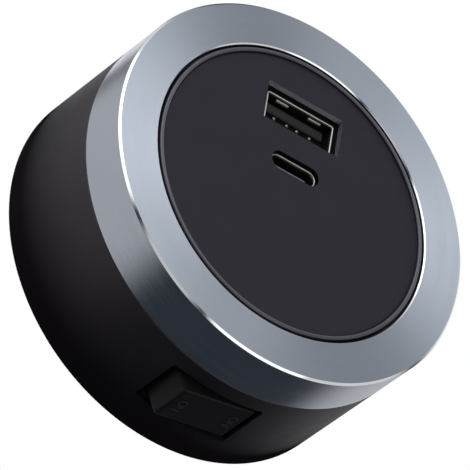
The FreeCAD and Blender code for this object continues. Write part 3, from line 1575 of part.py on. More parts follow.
# Track adapter
def make_tongue():
    base = cylinder("TongueBase", ("0", "0", "0"), "base_radius", "seat_depth")
    spigot = cylinder("TongueSpigot", ("0", "0", "0"), "spigot_radius", "seat_boss_height")
    neck = cylinder("TongueNeck", ("0", "0", TONGUE_HEAD), "tongue_half_width", "tongue_neck")
    head = oblong("TongueHead", TONGUE_CELLS, f"{TONGUE_HEAD} - {TONGUE_CELLS}")
    solids = fuse("TongueSolids", base, spigot, neck, head)
    holes = []
    cell_height = "(shoe_height + 2 * shoe_gap)"
    for side in (-1, 1):
        name = str(side + 1)
        cell_low = "shoe_cell_start" if side > 0 else f"0 - {SHOE_SHOULDER}"
        holes.append(
            box(
                "ShoeCell" + name,
                ("0 - shoe_width / 2 - shoe_gap", cell_low, TONGUE_CELLS + " - cut_over"),
                (
                    "shoe_width + 2 * shoe_gap",
                    f"{SHOE_SHOULDER} - shoe_cell_start",
                    cell_height + " + cut_over",
                ),
            ),
        )
        window_low = f"{SHOE_SHOULDER} - cut_over" if side > 0 else "0 - tongue_half_length - cut_over"
        holes.append(
            box(
                "ShoeWindow" + name,
                ("0 - shoe_nose / 2 - shoe_gap", window_low, TONGUE_CELLS + " - cut_over"),
                ("shoe_nose + 2 * shoe_gap", "shoe_stop + 2 * cut_over", cell_height + " + cut_over"),
            ),
        )
        holes.append(
            cylinder(
                "LeadDuct" + name,
                ("0", f"{side} * lead_place", TONGUE_CELLS),
                "duct_radius",
                f"seat_boss_height + cut_over - {TONGUE_CELLS}",
            ),
        )
        holes.append(
            cylinder(
                "TongueScrewThrough" + name,
                (f"{side} * tongue_screw_place", "0", "0 - cut_over"),
                "small_screw_hole",
                "seat_depth + 2 * cut_over",
            ),
        )
        holes.append(
            cylinder(
                "TongueScrewSink" + name,
                (f"{side} * tongue_screw_place", "0", "0 - cut_over"),
                "small_screw_head + fit_gap",
                "small_screw_head_height + cut_over + fit_gap",
            ),
        )
        holes.append(
            cylinder(
                "CapScrewBore" + name,
                (f"{side} * cap_screw_place", "0", TONGUE_CELLS + " - cut_over"),
                "cap_screw_hole",
                "cap_screw_bore_depth + cut_over",
            ),
        )
    holes.append(
        cylinder(
            "EarthCell",
            ("0", "0", TONGUE_CELLS + " - cut_over"),
            "earth_collar_radius + shoe_gap",
            "earth_cell_depth + cut_over",
        ),
    )
    holes.append(
        cylinder(
            "EarthDuct",
            ("0", "0", TONGUE_CELLS),
            "duct_radius",
            f"seat_boss_height + cut_over - {TONGUE_CELLS}",
        ),
    )
    piece("tongue_body", cut("TongueBody", solids, *holes))

    plate = oblong("TongueCapBlank", "0 - tongue_reach", "tongue_cap_thickness")
    plate_round = rounded("TongueCapRound", plate, "tongue_edge_round", is_cap_edge)
    cap_holes = [
        cylinder(
            "EarthHole",
            ("0", "0", "0 - tongue_reach - cut_over"),
            "earth_pin_radius + shoe_gap",
            "tongue_cap_thickness + 2 * cut_over",
        ),
    ]
    for side in (-1, 1):
        name = str(side + 1)
        cap_holes.append(
            cylinder(
                "CapScrewHole" + name,
                (f"{side} * cap_screw_place", "0", "0 - tongue_reach - cut_over"),
                "cap_screw_hole",
                "tongue_cap_thickness + 2 * cut_over",
            ),
        )
    piece("tongue_cap", cut("TongueCap", plate_round, *cap_holes))


def oblong(name, foot, height):
    """The head's outline: as wide as the slot and as long as the circle it turns in."""
    block = middle_box(
        name + "Block", ("0", "0", foot), ("2 * tongue_half_width", "2 * tongue_half_length", height),
    )
    disc = cylinder(name + "Disc", ("0", "0", foot), "tongue_half_length", height)
    return common(name, block, disc)


def is_cap_edge(edge):
    """Whether an edge goes round the end of the head."""
    return abs(edge.BoundBox.ZMin + size("tongue_reach")) < 1e-6 and abs(
        edge.BoundBox.ZMax + size("tongue_reach"),
    ) < 1e-6


def make_tongue_screws():
    screws = [
        screw(
            f"TongueScrew{side + 1}",
            (f"{side} * tongue_screw_place", "0", "fit_gap"),
            "small_screw_head",
            "small_screw_head_height",
            "small_screw_radius",
            "tongue_screw_length",
        )
        for side in (-1, 1)
    ]
    piece("tongue_screws", group("TongueScrews", *screws))
    pins = [
        screw(
            f"CapScrew{side + 1}",
            (f"{side} * cap_screw_place", "0", "0 - tongue_reach - cap_screw_head_height"),
            "cap_screw_head",
            "cap_screw_head_height",
            "cap_screw_radius",
            "cap_screw_length",
        )
        for side in (-1, 1)
    ]
    piece("tongue_cap_screws", group("CapScrews", *pins))


# Contact shoes, pushed out of the head's ends by springs
def make_shoes():
    for side, name in ((1, "live"), (-1, "neutral")):
        title = name.capitalize()
        low = f"({TONGUE_CELLS} + shoe_gap)"
        back = f"({SHOE_SHOULDER} - shoe_length)"
        body_low = back if side > 0 else f"0 - {SHOE_SHOULDER} + fit_gap"
        body = box(
            title + "ShoeBody",
            ("0 - shoe_width / 2", body_low, low),
            ("shoe_width", "shoe_length - fit_gap", "shoe_height"),
        )
        nose_length = "(shoe_stop + shoe_stand + shoe_length / 2)"
        nose_low = f"{SHOE_SHOULDER} - shoe_length / 2" if side > 0 else "0 - tongue_half_length - shoe_stand"
        nose = box(
            title + "ShoeNose",
            ("0 - shoe_nose / 2", nose_low, low),
            ("shoe_nose", nose_length, "shoe_height"),
        )
        nose_round = rounded(title + "ShoeNoseRound", nose, "shoe_round", is_nose_edge(side))
        piece(name + "_contact", fuse(title + "Shoe", body, nose_round))


def is_nose_edge(side):
    """A test for the two long edges at the tip of a shoe's nose."""
    tip = side * (size("tongue_half_length") + size("shoe_stand"))

    def chosen(edge):
        across = abs(edge.CenterOfMass.x) < 1e-6 or is_along_z(edge)
        return across and abs(edge.CenterOfMass.y - tip) < 1e-6

    return chosen


def make_earth_contact():
    nose_low = "(0 - tongue_reach - earth_stand)"
    nose = cylinder(
        "EarthNose",
        ("0", "0", nose_low),
        "earth_pin_radius",
        f"{TONGUE_CELLS} - {nose_low} + earth_collar_height",
    )
    nose_round = rounded("EarthNoseRound", nose, "earth_round", is_earth_tip)
    collar = cylinder(
        "EarthCollar",
        ("0", "0", TONGUE_CELLS + " + fit_gap"),
        "earth_collar_radius",
        "earth_collar_height",
    )
    piece("earth_contact", fuse("EarthContact", nose_round, collar))


def is_earth_tip(edge):
    """Whether an edge is the rim of the earth plunger's tip."""
    tip = -size("tongue_reach") - size("earth_stand")
    return abs(edge.BoundBox.ZMin - tip) < 1e-6 and abs(edge.BoundBox.ZMax - tip) < 1e-6


def make_contact_springs():
    shoe_middle = size("tongue_cap_thickness") - size("tongue_reach") + size("shoe_gap") + size(
        "shoe_height",
    ) / 2
    cell_start = size("shoe_cell_start")
    length = size("tongue_half_length") - size("shoe_stop") - size("shoe_length") - cell_start
    for side, name in ((1, "live"), (-1, "neutral")):
        spring = coil(
            name.capitalize() + "Spring",
            size("spring_radius"),
            size("spring_wire"),
            length,
            size("shoe_spring_turns"),
        )
        turn = TURN_TO_Y if side > 0 else Rotation(Vector(1, 0, 0), 90)
        piece(name + "_spring", spring, Placement(Vector(0, side * cell_start, shoe_middle), turn))
    low = size("tongue_cap_thickness") - size("tongue_reach") + size("fit_gap") + size(
        "earth_collar_height",
    )
    high = size("tongue_cap_thickness") - size("tongue_reach") + size("earth_cell_depth")
    spring = coil(
        "EarthSpring",
        size("spring_radius"),
        size("spring_wire"),
        high - low,
        size("earth_spring_turns"),
    )
    piece("earth_spring", spring, Placement(Vector(0, 0, low), Rotation()))


def make_track_leads():
    cell_top = f"({TONGUE_CELLS} + shoe_height + 2 * shoe_gap)"
    for side, name in ((1, "live"), (-1, "neutral")):
        lead = cylinder(
            name.capitalize() + "Lead",
            ("0", f"{side} * lead_place", cell_top),
            "lead_radius",
            f"power_board_height - {cell_top}",
        )
        piece(name + "_lead", lead)
    earth_top = f"({TONGUE_CELLS} + earth_cell_depth)"
    lead = cylinder(
        "EarthLead", ("0", "0", earth_top), "lead_radius", f"power_board_height - {earth_top}",
    )
    piece("earth_lead", lead)


def check_and_export():
    """Recomputes, tests every object and writes one file for each piece."""
    doc.recompute()
    for thing in doc.Objects:
        if "Invalid" in thing.State or "Error" in thing.State:
            raise RuntimeError(f"{thing.Name} failed: {thing.State}")
    os.makedirs("parts", exist_ok=True)
    for name, thing in NODES.items():
        shape = thing.Shape
        if shape.isNull() or not shape.isValid() or not shape.Solids:
            raise RuntimeError(f"{name} has no valid solid")
        shape.exportStep(os.path.join("parts", name + ".step"))
        print(f"{name}: {len(shape.Solids)} solid(s), {shape.Volume:.1f} mm3")


make_trim_ring()
make_housing()
make_face_plate()
make_back_cover()
make_case_screws()
make_port_a()
make_port_c()
make_output_board()
make_power_board()
make_header()
make_transformer()
make_board_parts()
make_rocker()
make_plunger()
make_switch_case()
make_switch_contacts()
make_switch_leads()
make_tongue()
make_tongue_screws()
make_shoes()
make_earth_contact()
make_contact_springs()
make_track_leads()
check_and_export()
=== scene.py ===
import math

import bmesh
import bpy
from mathutils import Matrix, Vector


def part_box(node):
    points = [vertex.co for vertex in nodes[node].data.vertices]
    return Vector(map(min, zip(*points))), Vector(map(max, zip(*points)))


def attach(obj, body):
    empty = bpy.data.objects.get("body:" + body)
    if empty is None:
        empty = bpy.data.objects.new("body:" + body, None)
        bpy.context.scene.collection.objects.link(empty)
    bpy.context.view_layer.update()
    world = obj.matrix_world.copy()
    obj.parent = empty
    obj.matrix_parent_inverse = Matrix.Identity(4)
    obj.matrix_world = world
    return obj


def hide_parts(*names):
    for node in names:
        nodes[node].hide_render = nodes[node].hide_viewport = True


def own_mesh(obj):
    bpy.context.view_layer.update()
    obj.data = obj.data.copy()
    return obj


# Looks of the track USB socket. Meshes are worked out in millimetres and scaled to metres at the end.
# The front faces -Y, the rear seat is the plane Y = 0 and the switch is in the underside, at -Z.
MM = 0.001

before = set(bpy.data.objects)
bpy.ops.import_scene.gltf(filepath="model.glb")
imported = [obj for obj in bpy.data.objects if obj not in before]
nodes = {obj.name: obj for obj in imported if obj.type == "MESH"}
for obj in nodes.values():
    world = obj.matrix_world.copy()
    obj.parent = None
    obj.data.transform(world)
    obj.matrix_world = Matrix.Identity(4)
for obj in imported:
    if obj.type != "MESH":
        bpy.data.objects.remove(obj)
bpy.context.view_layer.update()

# Sizes that the solids have too
PUCK_RADIUS = 33.0
FRONT = -30.4
FACE = -29.9
RING_FOOT = -21.3
RING_OPENING = 25.7
RING_WALL = 1.8
RING_UNDERSIDE = -28.8
FLANGE_UNDERSIDE = -26.8
NECK_GAP = 0.12
NECK_WALL = 1.5
NECK_OUTSIDE = PUCK_RADIUS - RING_WALL - NECK_GAP
NECK_INSIDE = NECK_OUTSIDE - NECK_WALL
HOUSING_WALL = 2.4
COVER_THICKNESS = 2.4
PORT_A_Z = 14.85
PORT_A_FRONT = -28.7
PORT_C_Z = 4.9
PORT_C_FRONT = -29.15
SHELL_A = {"length": 13.1, "width": 5.72, "corner": 0.5}
SHELL_C = {"length": 8.94, "width": 3.16, "corner": 1.58}
SHELL_WALL = 0.3
BOARD_FRONT = -15.0
SWITCH_Y = -12.6
ROCKER_PIVOT_Z = -27.0
ROCKER_TILT = math.radians(-11.2)

# Fine edges of the ring and the face, which the solids have a little larger or smaller
OUTER_CHAMFER = 0.35
INNER_CHAMFER = 0.2
LIP_RADIUS = 25.3
LIP_WIDTH = 0.78
GROOVE_WIDTH = 0.14
GROOVE_DEPTH = 0.12

# Steps round the puck, and round posts and stubs
AROUND = 288
SMALL_AROUND = 40


# Materials
def start_material(name):
    """An empty node material with a Principled shader."""
    material = bpy.data.materials.new(name)
    material.use_nodes = True
    tree = material.node_tree
    shader = tree.nodes["Principled BSDF"]
    return material, tree, shader


def node(tree, kind, **values):
    """A shader node with its properties and its unlinked inputs set."""
    made = tree.nodes.new(kind)
    for name, value in values.items():
        if name in made.inputs:
            made.inputs[name].default_value = value
        else:
            setattr(made, name, value)
    return made


def node_at(tree, kind, place, **values):
    """A shader node with a place linked to its Vector input."""
    made = node(tree, kind, **values)
    tree.links.new(place, made.inputs["Vector"])
    return made


def noise(tree, place, scale, detail=3.0, roughness=0.5):
    """A noise texture over a place; its output runs from 0 to 1."""
    made = node_at(tree, "ShaderNodeTexNoise", place, Scale=scale, Detail=detail, Roughness=roughness)
    return made.outputs["Fac"]


def maths(tree, operation, *parts):
    """A Math node; each part is a number or a socket."""
    made = node(tree, "ShaderNodeMath", operation=operation)
    for socket, value in zip(made.inputs, parts):
        if isinstance(value, (int, float)):
            socket.default_value = value
        else:
            tree.links.new(value, socket)
    return made.outputs["Value"]


def spread(tree, value, low, high, to_low, to_high):
    """Maps a value from one range to another, smoothly and held at both ends."""
    made = node(tree, "ShaderNodeMapRange", interpolation_type="SMOOTHSTEP")
    tree.links.new(value, made.inputs["Value"])
    for side, limit in (("From Min", low), ("From Max", high), ("To Min", to_low), ("To Max", to_high)):
        made.inputs[side].default_value = limit
    return made.outputs["Result"]


def blend_colours(tree, factor, first, second):
    """A colour between two others by a factor."""
    made = node(tree, "ShaderNodeMix", data_type="RGBA")
    tree.links.new(factor, made.inputs["Factor"])
    for socket, colour in ((made.inputs["A"], first), (made.inputs["B"], second)):
        if hasattr(colour, "is_output"):
            tree.links.new(colour, socket)
        else:
            socket.default_value = (*colour, 1.0)
    return made.outputs["Result"]


def place_of(tree):
    """The point on the object, in metres."""
    return tree.nodes.new("ShaderNodeTexCoord").outputs["Object"]


def tone(colour, factor, lift=0.0):
    """A colour made darker or lighter by a factor, then lifted by a constant."""
    return tuple(min(1.0, part * factor + lift) for part in colour)


def link_look(tree, shader, base, rough):
    """Links a shader's colour and roughness."""
    tree.links.new(base, shader.inputs["Base Color"])
    tree.links.new(rough, shader.inputs["Roughness"])


def add_bump(tree, shader, heights):
    """Adds bumps to a shader from (height socket, depth in metres) pairs."""
    normal = None
    for height, depth in heights:
        bump = node(tree, "ShaderNodeBump", Strength=1.0, Distance=depth)
        tree.links.new(height, bump.inputs["Height"])
        if normal is not None:
            tree.links.new(normal, bump.inputs["Normal"])
        normal = bump.outputs["Normal"]
    tree.links.new(normal, shader.inputs["Normal"])


def wear_mask(tree):
    """Near 1 on outer edges and 0 elsewhere."""
    pointed = tree.nodes.new("ShaderNodeNewGeometry").outputs["Pointiness"]
    return spread(tree, pointed, 0.515, 0.58, 0.0, 1.0)


def moulded_plastic(name, colour, rough=0.42, grain=0.0000035, scale=9000, worn=0.35, specular=0.5):
    """Moulded plastic: spark-eroded grain, faint flow mottling, fine scuffs and paler edges."""
    material, tree, shader = start_material(name)
    place = place_of(tree)
    mottle = spread(tree, noise(tree, place, 160, 4.0), 0.3, 0.7, 0.0, 1.0)
    base = blend_colours(tree, mottle, tone(colour, 0.95), tone(colour, 1.05))
    if worn > 0:
        patches = spread(tree, noise(tree, place, 900), 0.35, 0.6, 0.0, worn)
        edges = maths(tree, "MULTIPLY", wear_mask(tree), patches)
        base = blend_colours(tree, edges, base, tone(colour, 1.5, 0.008))
    scuffs = noise(tree, place, 420, 6.0, 0.65)
    link_look(tree, shader, base, spread(tree, scuffs, 0.3, 0.72, rough - 0.015, rough + 0.025))
    fine = noise(tree, place, scale, 4.0, 0.6)
    coarse = noise(tree, place, scale / 5, 3.0)
    add_bump(tree, shader, ((fine, grain), (coarse, grain * 0.4)))
    shader.inputs["Specular IOR Level"].default_value = specular
    return material


def body_plastic(name, colour, rough, front_gloss, rear_gloss):
    """The body's plastic: glossier by the ring, dull towards the rear, its gloss tinged with violet."""
    material = moulded_plastic(name, colour, rough)
    tree = material.node_tree
    shader = tree.nodes["Principled BSDF"]
    shader.inputs["Specular Tint"].default_value = (1.0, 0.86, 1.0, 1.0)
    parts = node_at(tree, "ShaderNodeSeparateXYZ", place_of(tree))
    dull_from = -3.0
    gloss = spread(tree, parts.outputs["Y"], RING_FOOT * MM, dull_from * MM, front_gloss, rear_gloss)
    tree.links.new(gloss, shader.inputs["Specular IOR Level"])
    return material


def ring_metal(name, colour, rough, around):
    """Anodised aluminium, turned on a lathe: fine circular lines about the Y axis and cloudy anodising."""
    material, tree, shader = start_material(name)
    place = place_of(tree)
    parts = node_at(tree, "ShaderNodeSeparateXYZ", place)
    across = maths(tree, "MULTIPLY", parts.outputs["X"], parts.outputs["X"])
    up = maths(tree, "MULTIPLY", parts.outputs["Z"], parts.outputs["Z"])
    radius = maths(tree, "SQRT", maths(tree, "ADD", across, up))
    angle = maths(tree, "ARCTAN2", parts.outputs["Z"], parts.outputs["X"])
    lines = node(tree, "ShaderNodeCombineXYZ")
    tree.links.new(radius, lines.inputs["X"])
    tree.links.new(maths(tree, "MULTIPLY", angle, 0.0012), lines.inputs["Y"])
    tree.links.new(parts.outputs["Y"], lines.inputs["Z"])
    fine = noise(tree, lines.outputs["Vector"], 9000, 3.0, 0.7)
    broad = noise(tree, lines.outputs["Vector"], 1500, 2.0)
    cloud = noise(tree, place, 60, 3.0)
    shade = maths(tree, "ADD", maths(tree, "MULTIPLY", fine, 0.55), maths(tree, "MULTIPLY", cloud, 0.45))
    shade = spread(tree, shade, 0.35, 0.65, 0.0, 1.0)
    base = blend_colours(tree, shade, tone(colour, 0.97), tone(colour, 1.03))
    link_look(tree, shader, base, spread(tree, broad, 0.3, 0.7, rough - 0.03, rough + 0.03))
    shader.inputs["Metallic"].default_value = 1.0
    shader.inputs["Anisotropic"].default_value = around
    shader.inputs["Anisotropic Rotation"].default_value = 0.25
    tangent = node(tree, "ShaderNodeTangent", direction_type="RADIAL", axis="Y")
    tree.links.new(tangent.outputs["Tangent"], shader.inputs["Tangent"])
    add_bump(tree, shader, ((fine, 0.00000015), (broad, 0.0000003)))
    return material


def cut_metal(name, colour, rough, scale=2600, stretch=(1.0, 1.0, 1.0), depth=0.0000012, tarnish=0.2):
    """Bare or plated metal: drawn or stamped marks, fine scratches and a little tarnish."""
    material, tree, shader = start_material(name)
    place = place_of(tree)
    drawn = node_at(tree, "ShaderNodeMapping", place, Scale=stretch).outputs["Vector"]
    marks = noise(tree, drawn, scale, 4.0, 0.6)
    stain = spread(tree, noise(tree, place, 380, 4.0), 0.42, 0.75, 0.0, tarnish)
    base = blend_colours(tree, stain, colour, tone(colour, 0.72))
    link_look(tree, shader, base, spread(tree, marks, 0.3, 0.7, rough - 0.05, rough + 0.09))
    shader.inputs["Metallic"].default_value = 1.0
    add_bump(tree, shader, ((marks, depth), (noise(tree, drawn, scale * 3, 2.0), depth * 0.5)))
    return material


def board_material(name):
    """Green solder mask over glass fibre, with tracks that show through."""
    material, tree, shader = start_material(name)
    place = place_of(tree)
    cells = node_at(tree, "ShaderNodeTexVoronoi", place, feature="DISTANCE_TO_EDGE", Scale=420)
    track = spread(tree, cells.outputs["Distance"], 0.03, 0.06, 1.0, 0.0)
    weave = node_at(tree, "ShaderNodeTexWave", place, wave_type="BANDS", bands_direction="DIAGONAL",
                    Scale=900, Distortion=1.5).outputs["Fac"]
    mask = blend_colours(tree, track, (0.012, 0.1, 0.035), (0.03, 0.2, 0.07))
    base = blend_colours(tree, spread(tree, weave, 0.2, 0.8, 0.0, 0.25), mask, (0.02, 0.15, 0.05))
    link_look(tree, shader, base, spread(tree, noise(tree, place, 700), 0.3, 0.7, 0.22, 0.36))
    shader.inputs["Coat Weight"].default_value = 0.4
    add_bump(tree, shader, ((track, 0.00002), (weave, 0.000003)))
    return material


def wound_material(name, colour, lines, depth, rough, metallic=0.0):
    """Turns of wire or tape that follow each other along Y, each a small ridge, with painted shade in the
    hollows between them.
    """
    material, tree, shader = start_material(name)
    place = place_of(tree)
    turns = node_at(tree, "ShaderNodeTexWave", place, wave_type="BANDS", bands_direction="Y",
                    wave_profile="SIN", Scale=lines, Distortion=0.6, Detail=2.0).outputs["Fac"]
    # The hollows between the turns are painted darker: painted shade.
    base = blend_colours(tree, turns, tone(colour, 0.6), colour)
    link_look(tree, shader, base, spread(tree, noise(tree, place, 900), 0.3, 0.7, rough - 0.06, rough + 0.08))
    shader.inputs["Metallic"].default_value = metallic
    add_bump(tree, shader, ((turns, depth),))
    return material


def sintered_material(name, colour):
    """Ferrite and dipped ceramic: a dense grain, with pores painted darker as painted shade."""
    material, tree, shader = start_material(name)
    place = place_of(tree)
    grain = noise(tree, place, 5200, 5.0, 0.7)
    pores = node_at(tree, "ShaderNodeTexVoronoi", place, Scale=3000)
    pit = spread(tree, pores.outputs["Distance"], 0.05, 0.22, 0.0, 1.0)
    darker = tone(colour, 0.55)
    base = blend_colours(tree, spread(tree, grain, 0.3, 0.7, 0.0, 1.0), darker, tone(colour, 1.2))
    rough = spread(tree, grain, 0.3, 0.7, 0.5, 0.7)
    # The pores are painted darker: painted shade.
    link_look(tree, shader, blend_colours(tree, pit, darker, base), rough)
    add_bump(tree, shader, ((pit, 0.000012), (grain, 0.000006)))
    return material


def glass_tube_material(name):
    """The fuse's glass, with metal caps towards its ends."""
    material, tree, shader = start_material(name)
    place = place_of(tree)
    parts = node_at(tree, "ShaderNodeSeparateXYZ", place)
    low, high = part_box("fuse")
    middle = (low[0] + high[0]) / 2
    half = (high[0] - low[0]) / 2
    along = maths(tree, "ABSOLUTE", maths(tree, "SUBTRACT", parts.outputs["X"], middle))
    cap = spread(tree, along, half * 0.48, half * 0.52, 0.0, 1.0)
    haze = noise(tree, place, 1400, 4.0)
    glass = blend_colours(tree, haze, (0.62, 0.66, 0.65), (0.75, 0.78, 0.76))
    base = blend_colours(tree, cap, glass, (0.7, 0.7, 0.69))
    link_look(tree, shader, base, spread(tree, haze, 0.3, 0.7, 0.08, 0.2))
    tree.links.new(cap, shader.inputs["Metallic"])
    add_bump(tree, shader, ((haze, 0.000002),))
    return material


# Meshes
def soften(corners, closed=True):
    """An outline of (across, up, radius) corners with each corner rounded to its radius."""
    points = []
    count = len(corners)
    for number, (across, up, radius) in enumerate(corners):
        corner = Vector((across, up))
        end = not closed and number in (0, count - 1)
        if radius <= 0 or end:
            points.append(corner)
            continue
        back = (Vector(corners[number - 1][:2]) - corner).normalized()
        ahead = (Vector(corners[(number + 1) % count][:2]) - corner).normalized()
        opening = back.angle(ahead)
        if opening > math.pi - 0.02:
            points.append(corner)
            continue
        centre = corner + (back + ahead).normalized() * (radius / math.sin(opening / 2))
        reach = radius / math.tan(opening / 2)
        first = corner + back * reach - centre
        last = corner + ahead * reach - centre
        start = math.atan2(first.y, first.x)
        sweep = (math.atan2(last.y, last.x) - start + math.pi) % (2 * math.pi) - math.pi
        steps = max(2, math.ceil(abs(sweep) / math.radians(12)))
        for step in range(steps + 1):
            turn = start + sweep * step / steps
            points.append(centre + Vector((math.cos(turn), math.sin(turn))) * radius)
    return points


def slot_loop(length, width, corner, grow=0.0, steps=6, long_steps=1, short_steps=1):
    """A rounded rectangle as (across, up) points, counter-clockwise, grown outwards by a distance."""
    half_x = length / 2 + grow
    half_z = width / 2 + grow
    radius = min(max(corner + grow, 0.001), half_x, half_z)
    points = []
    for number, (side_x, side_z) in enumerate(((1, 1), (-1, 1), (-1, -1), (1, -1))):
        centre = Vector((side_x * (half_x - radius), side_z * (half_z - radius)))
        for step in range(steps + 1):
            turn = math.pi / 2 * (number + step / steps)
            points.append(centre + Vector((math.cos(turn), math.sin(turn))) * radius)
    filled = []
    for number in range(4):
        arc = points[number * (steps + 1):(number + 1) * (steps + 1)]
        following = points[((number + 1) * (steps + 1)) % len(points)]
        parts = long_steps if number % 2 == 0 else short_steps
        filled += arc
        filled += [arc[-1].lerp(following, part / parts) for part in range(1, parts)]
    return filled


def ring_of(bm, points):
    """Vertices at a list of points."""
    return [bm.verts.new(point) for point in points]


def bridge(bm, first, second, closed=True, metal=0):
    """Quads between two rows of as many vertices, with a material's number."""
    count = len(first)
    for number in range(count if closed else count - 1):
        after = (number + 1) % count
        quad = bm.faces.new((first[number], first[after], second[after], second[number]))
        quad.material_index = metal


def bridge_rows(bm, rows, closed=True):
    """Quads between each row of vertices and the next."""
    for first, second in zip(rows, rows[1:]):
        bridge(bm, first, second, closed)


def close_ends(bm, rows):
    """A face on the first row, and one on the last that faces the other way."""
    bm.faces.new(rows[0])
    bm.faces.new(list(reversed(rows[-1])))


def fill_between(bm, loops):
    """A flat face inside the first closed row of vertices and outside the others."""
    edges = []
    for loop in loops:
        for number in range(len(loop)):
            pair = (loop[number], loop[(number + 1) % len(loop)])
            edges.append(bm.edges.get(pair) or bm.edges.new(pair))
    bmesh.ops.triangle_fill(bm, edges=edges, use_beauty=True)


def turned_points(radius, height, count=AROUND):
    """A circle about the Y axis."""
    turns = [2 * math.pi * number / count for number in range(count)]
    return [(radius * math.cos(turn), height, radius * math.sin(turn)) for turn in turns]


def lathe(bm, outline, closed=True):
    """Turns an outline of (radius, height) points about the Y axis; gives the first and last row."""
    rows = [ring_of(bm, turned_points(*point)) for point in outline]
    for number in range(len(rows) if closed else len(rows) - 1):
        bridge(bm, rows[number], rows[(number + 1) % len(rows)])
    return rows[0], rows[-1]


def slot_row(bm, shape, height, up, grow=0.0, steps=8):
    """Vertices of a rounded rectangle that faces the front, at a height along Y and a place along Z."""
    loop = slot_loop(grow=grow, steps=steps, **shape)
    return ring_of(bm, [(point.x, height, point.y + up) for point in loop])


def add_object(name, data):
    """A new object in the scene."""
    made = bpy.data.objects.new(name, data)
    bpy.context.scene.collection.objects.link(made)
    return made


def add_even_shading(thing, keep_sharp):
    """Large faces decide how the small ones beside them are shaded."""
    weights = thing.modifiers.new("WeightedNormal", "WEIGHTED_NORMAL")
    weights.weight = 70
    weights.keep_sharp = keep_sharp


def make_piece(name, bm, material, sharp=32.0):
    """Turns a mesh in millimetres into an object in metres, smooth but for its sharp edges."""
    bmesh.ops.remove_doubles(bm, verts=bm.verts, dist=0.0004)
    bmesh.ops.recalc_face_normals(bm, faces=bm.faces)
    limit = math.radians(sharp)
    for face in bm.faces:
        face.smooth = True
    for edge in bm.edges:
        if len(edge.link_faces) == 2 and edge.calc_face_angle(0.0) > limit:
            edge.smooth = False
    mesh = bpy.data.meshes.new(name)
    bm.to_mesh(mesh)
    bm.free()
    mesh.transform(Matrix.Scale(MM, 4))
    mesh.materials.append(material)
    made = add_object(name, mesh)
    add_even_shading(made, True)
    return made


def soft_box(bm, low, high, radius):
    """A box with all edges rounded, added to a mesh."""
    verts = bmesh.ops.create_cube(bm, size=1.0)["verts"]
    middle = (Vector(low) + Vector(high)) / 2
    span = Vector(high) - Vector(low)
    for vert in verts:
        vert.co = vert.co * span + middle
    edges = list({edge for vert in verts for edge in vert.link_edges})
    bmesh.ops.bevel(bm, geom=edges, offset=radius, segments=3, profile=0.5, affect="EDGES")


def sweep(bm, path, section, above):
    """Carries a closed section of (side, up) points along a path, and closes both ends."""
    rows = []
    for number, point in enumerate(path):
        here = Vector(point)
        before = Vector(path[max(number - 1, 0)])
        after = Vector(path[min(number + 1, len(path) - 1)])
        ahead = (after - before).normalized()
        side = ahead.cross(Vector(above)).normalized()
        up = side.cross(ahead).normalized()
        rows.append(ring_of(bm, [here + side * part[0] + up * part[1] for part in section]))
    bridge_rows(bm, rows)
    close_ends(bm, rows)


def dress(name, material, bevel):
    """Gives a solid's node its material, small rounded edges and even shading."""
    thing = nodes[name]
    thing.data.materials.clear()
    thing.data.materials.append(material)
    if bevel <= 0:
        return
    weld = thing.modifiers.new("Weld", "WELD")
    weld.merge_threshold = 0.000002
    flat = thing.modifiers.new("Flat", "DECIMATE")
    flat.decimate_type = "DISSOLVE"
    flat.angle_limit = math.radians(0.4)
    edges = thing.modifiers.new("Edges", "BEVEL")
    edges.limit_method = "ANGLE"
    edges.angle_limit = math.radians(32)
    edges.width = bevel * MM
    edges.segments = 2
    edges.miter_outer = "MITER_ARC"
    add_even_shading(thing, False)


# The materials in use
black_plastic = body_plastic("Black housing plastic", (0.0125, 0.0102, 0.0132), 0.46, 0.6, 0.0)
rear_plastic = moulded_plastic("Black rear plastic", (0.013, 0.0122, 0.0138), worn=0.3)
face_plastic = moulded_plastic(
    "Black face plastic", (0.0185, 0.0172, 0.0262), 0.46, 0.000002, 11000, 0.0, 0.17)
# The recess's walls are the face's black plastic painted lighter, and its top wall more so: painted light.
# Its floor and the holes' walls are painted near black: painted shade.
wall_painted_light = moulded_plastic("Recess wall, painted light", (0.105, 0.1, 0.112), 0.4, 0.000001, 11000, 0.3, 0.3)
top_wall_painted_light = moulded_plastic(
    "Recess top wall, painted light", (0.26, 0.25, 0.275), 0.4, 0.000001, 11000, 0.3, 0.3)
floor_painted_shade = moulded_plastic("Recess floor and hole walls, painted shade", (0.003, 0.003, 0.0032), 0.6, 0.000003, 11000, 0.1, 0.05)
lip_plastic = moulded_plastic("Polished lip plastic", (0.077, 0.075, 0.095), 0.2, 0.0000005)
switch_plastic = moulded_plastic("Rocker plastic", (0.0085, 0.0078, 0.0092), 0.5, 0.000004, 7000, 0.3, 0.2)
mark_paint = moulded_plastic("Rocker marks", (0.024, 0.023, 0.026), 0.5, 0.000003, 12000)
case_plastic = moulded_plastic("Switch case plastic", (0.008, 0.008, 0.009), 0.55, 0.000006, 6000, 0.3, 0.2)
anodised = ring_metal("Anodised aluminium", (0.49, 0.54, 0.615), 0.38, 0.9)
side_metal = ring_metal("Anodised aluminium side", (0.68, 0.715, 0.79), 0.2, 0.7)
cut_edge = ring_metal("Diamond cut edge", (0.9, 0.91, 0.93), 0.1, 0.3)
port_steel = cut_metal("Nickel plated sheet", (0.7, 0.68, 0.64), 0.2, 1800, (1.0, 0.12, 1.0))
port_rim = cut_metal("Polished port rim", (0.56, 0.525, 0.5), 0.34, 1800, depth=0.0000008)
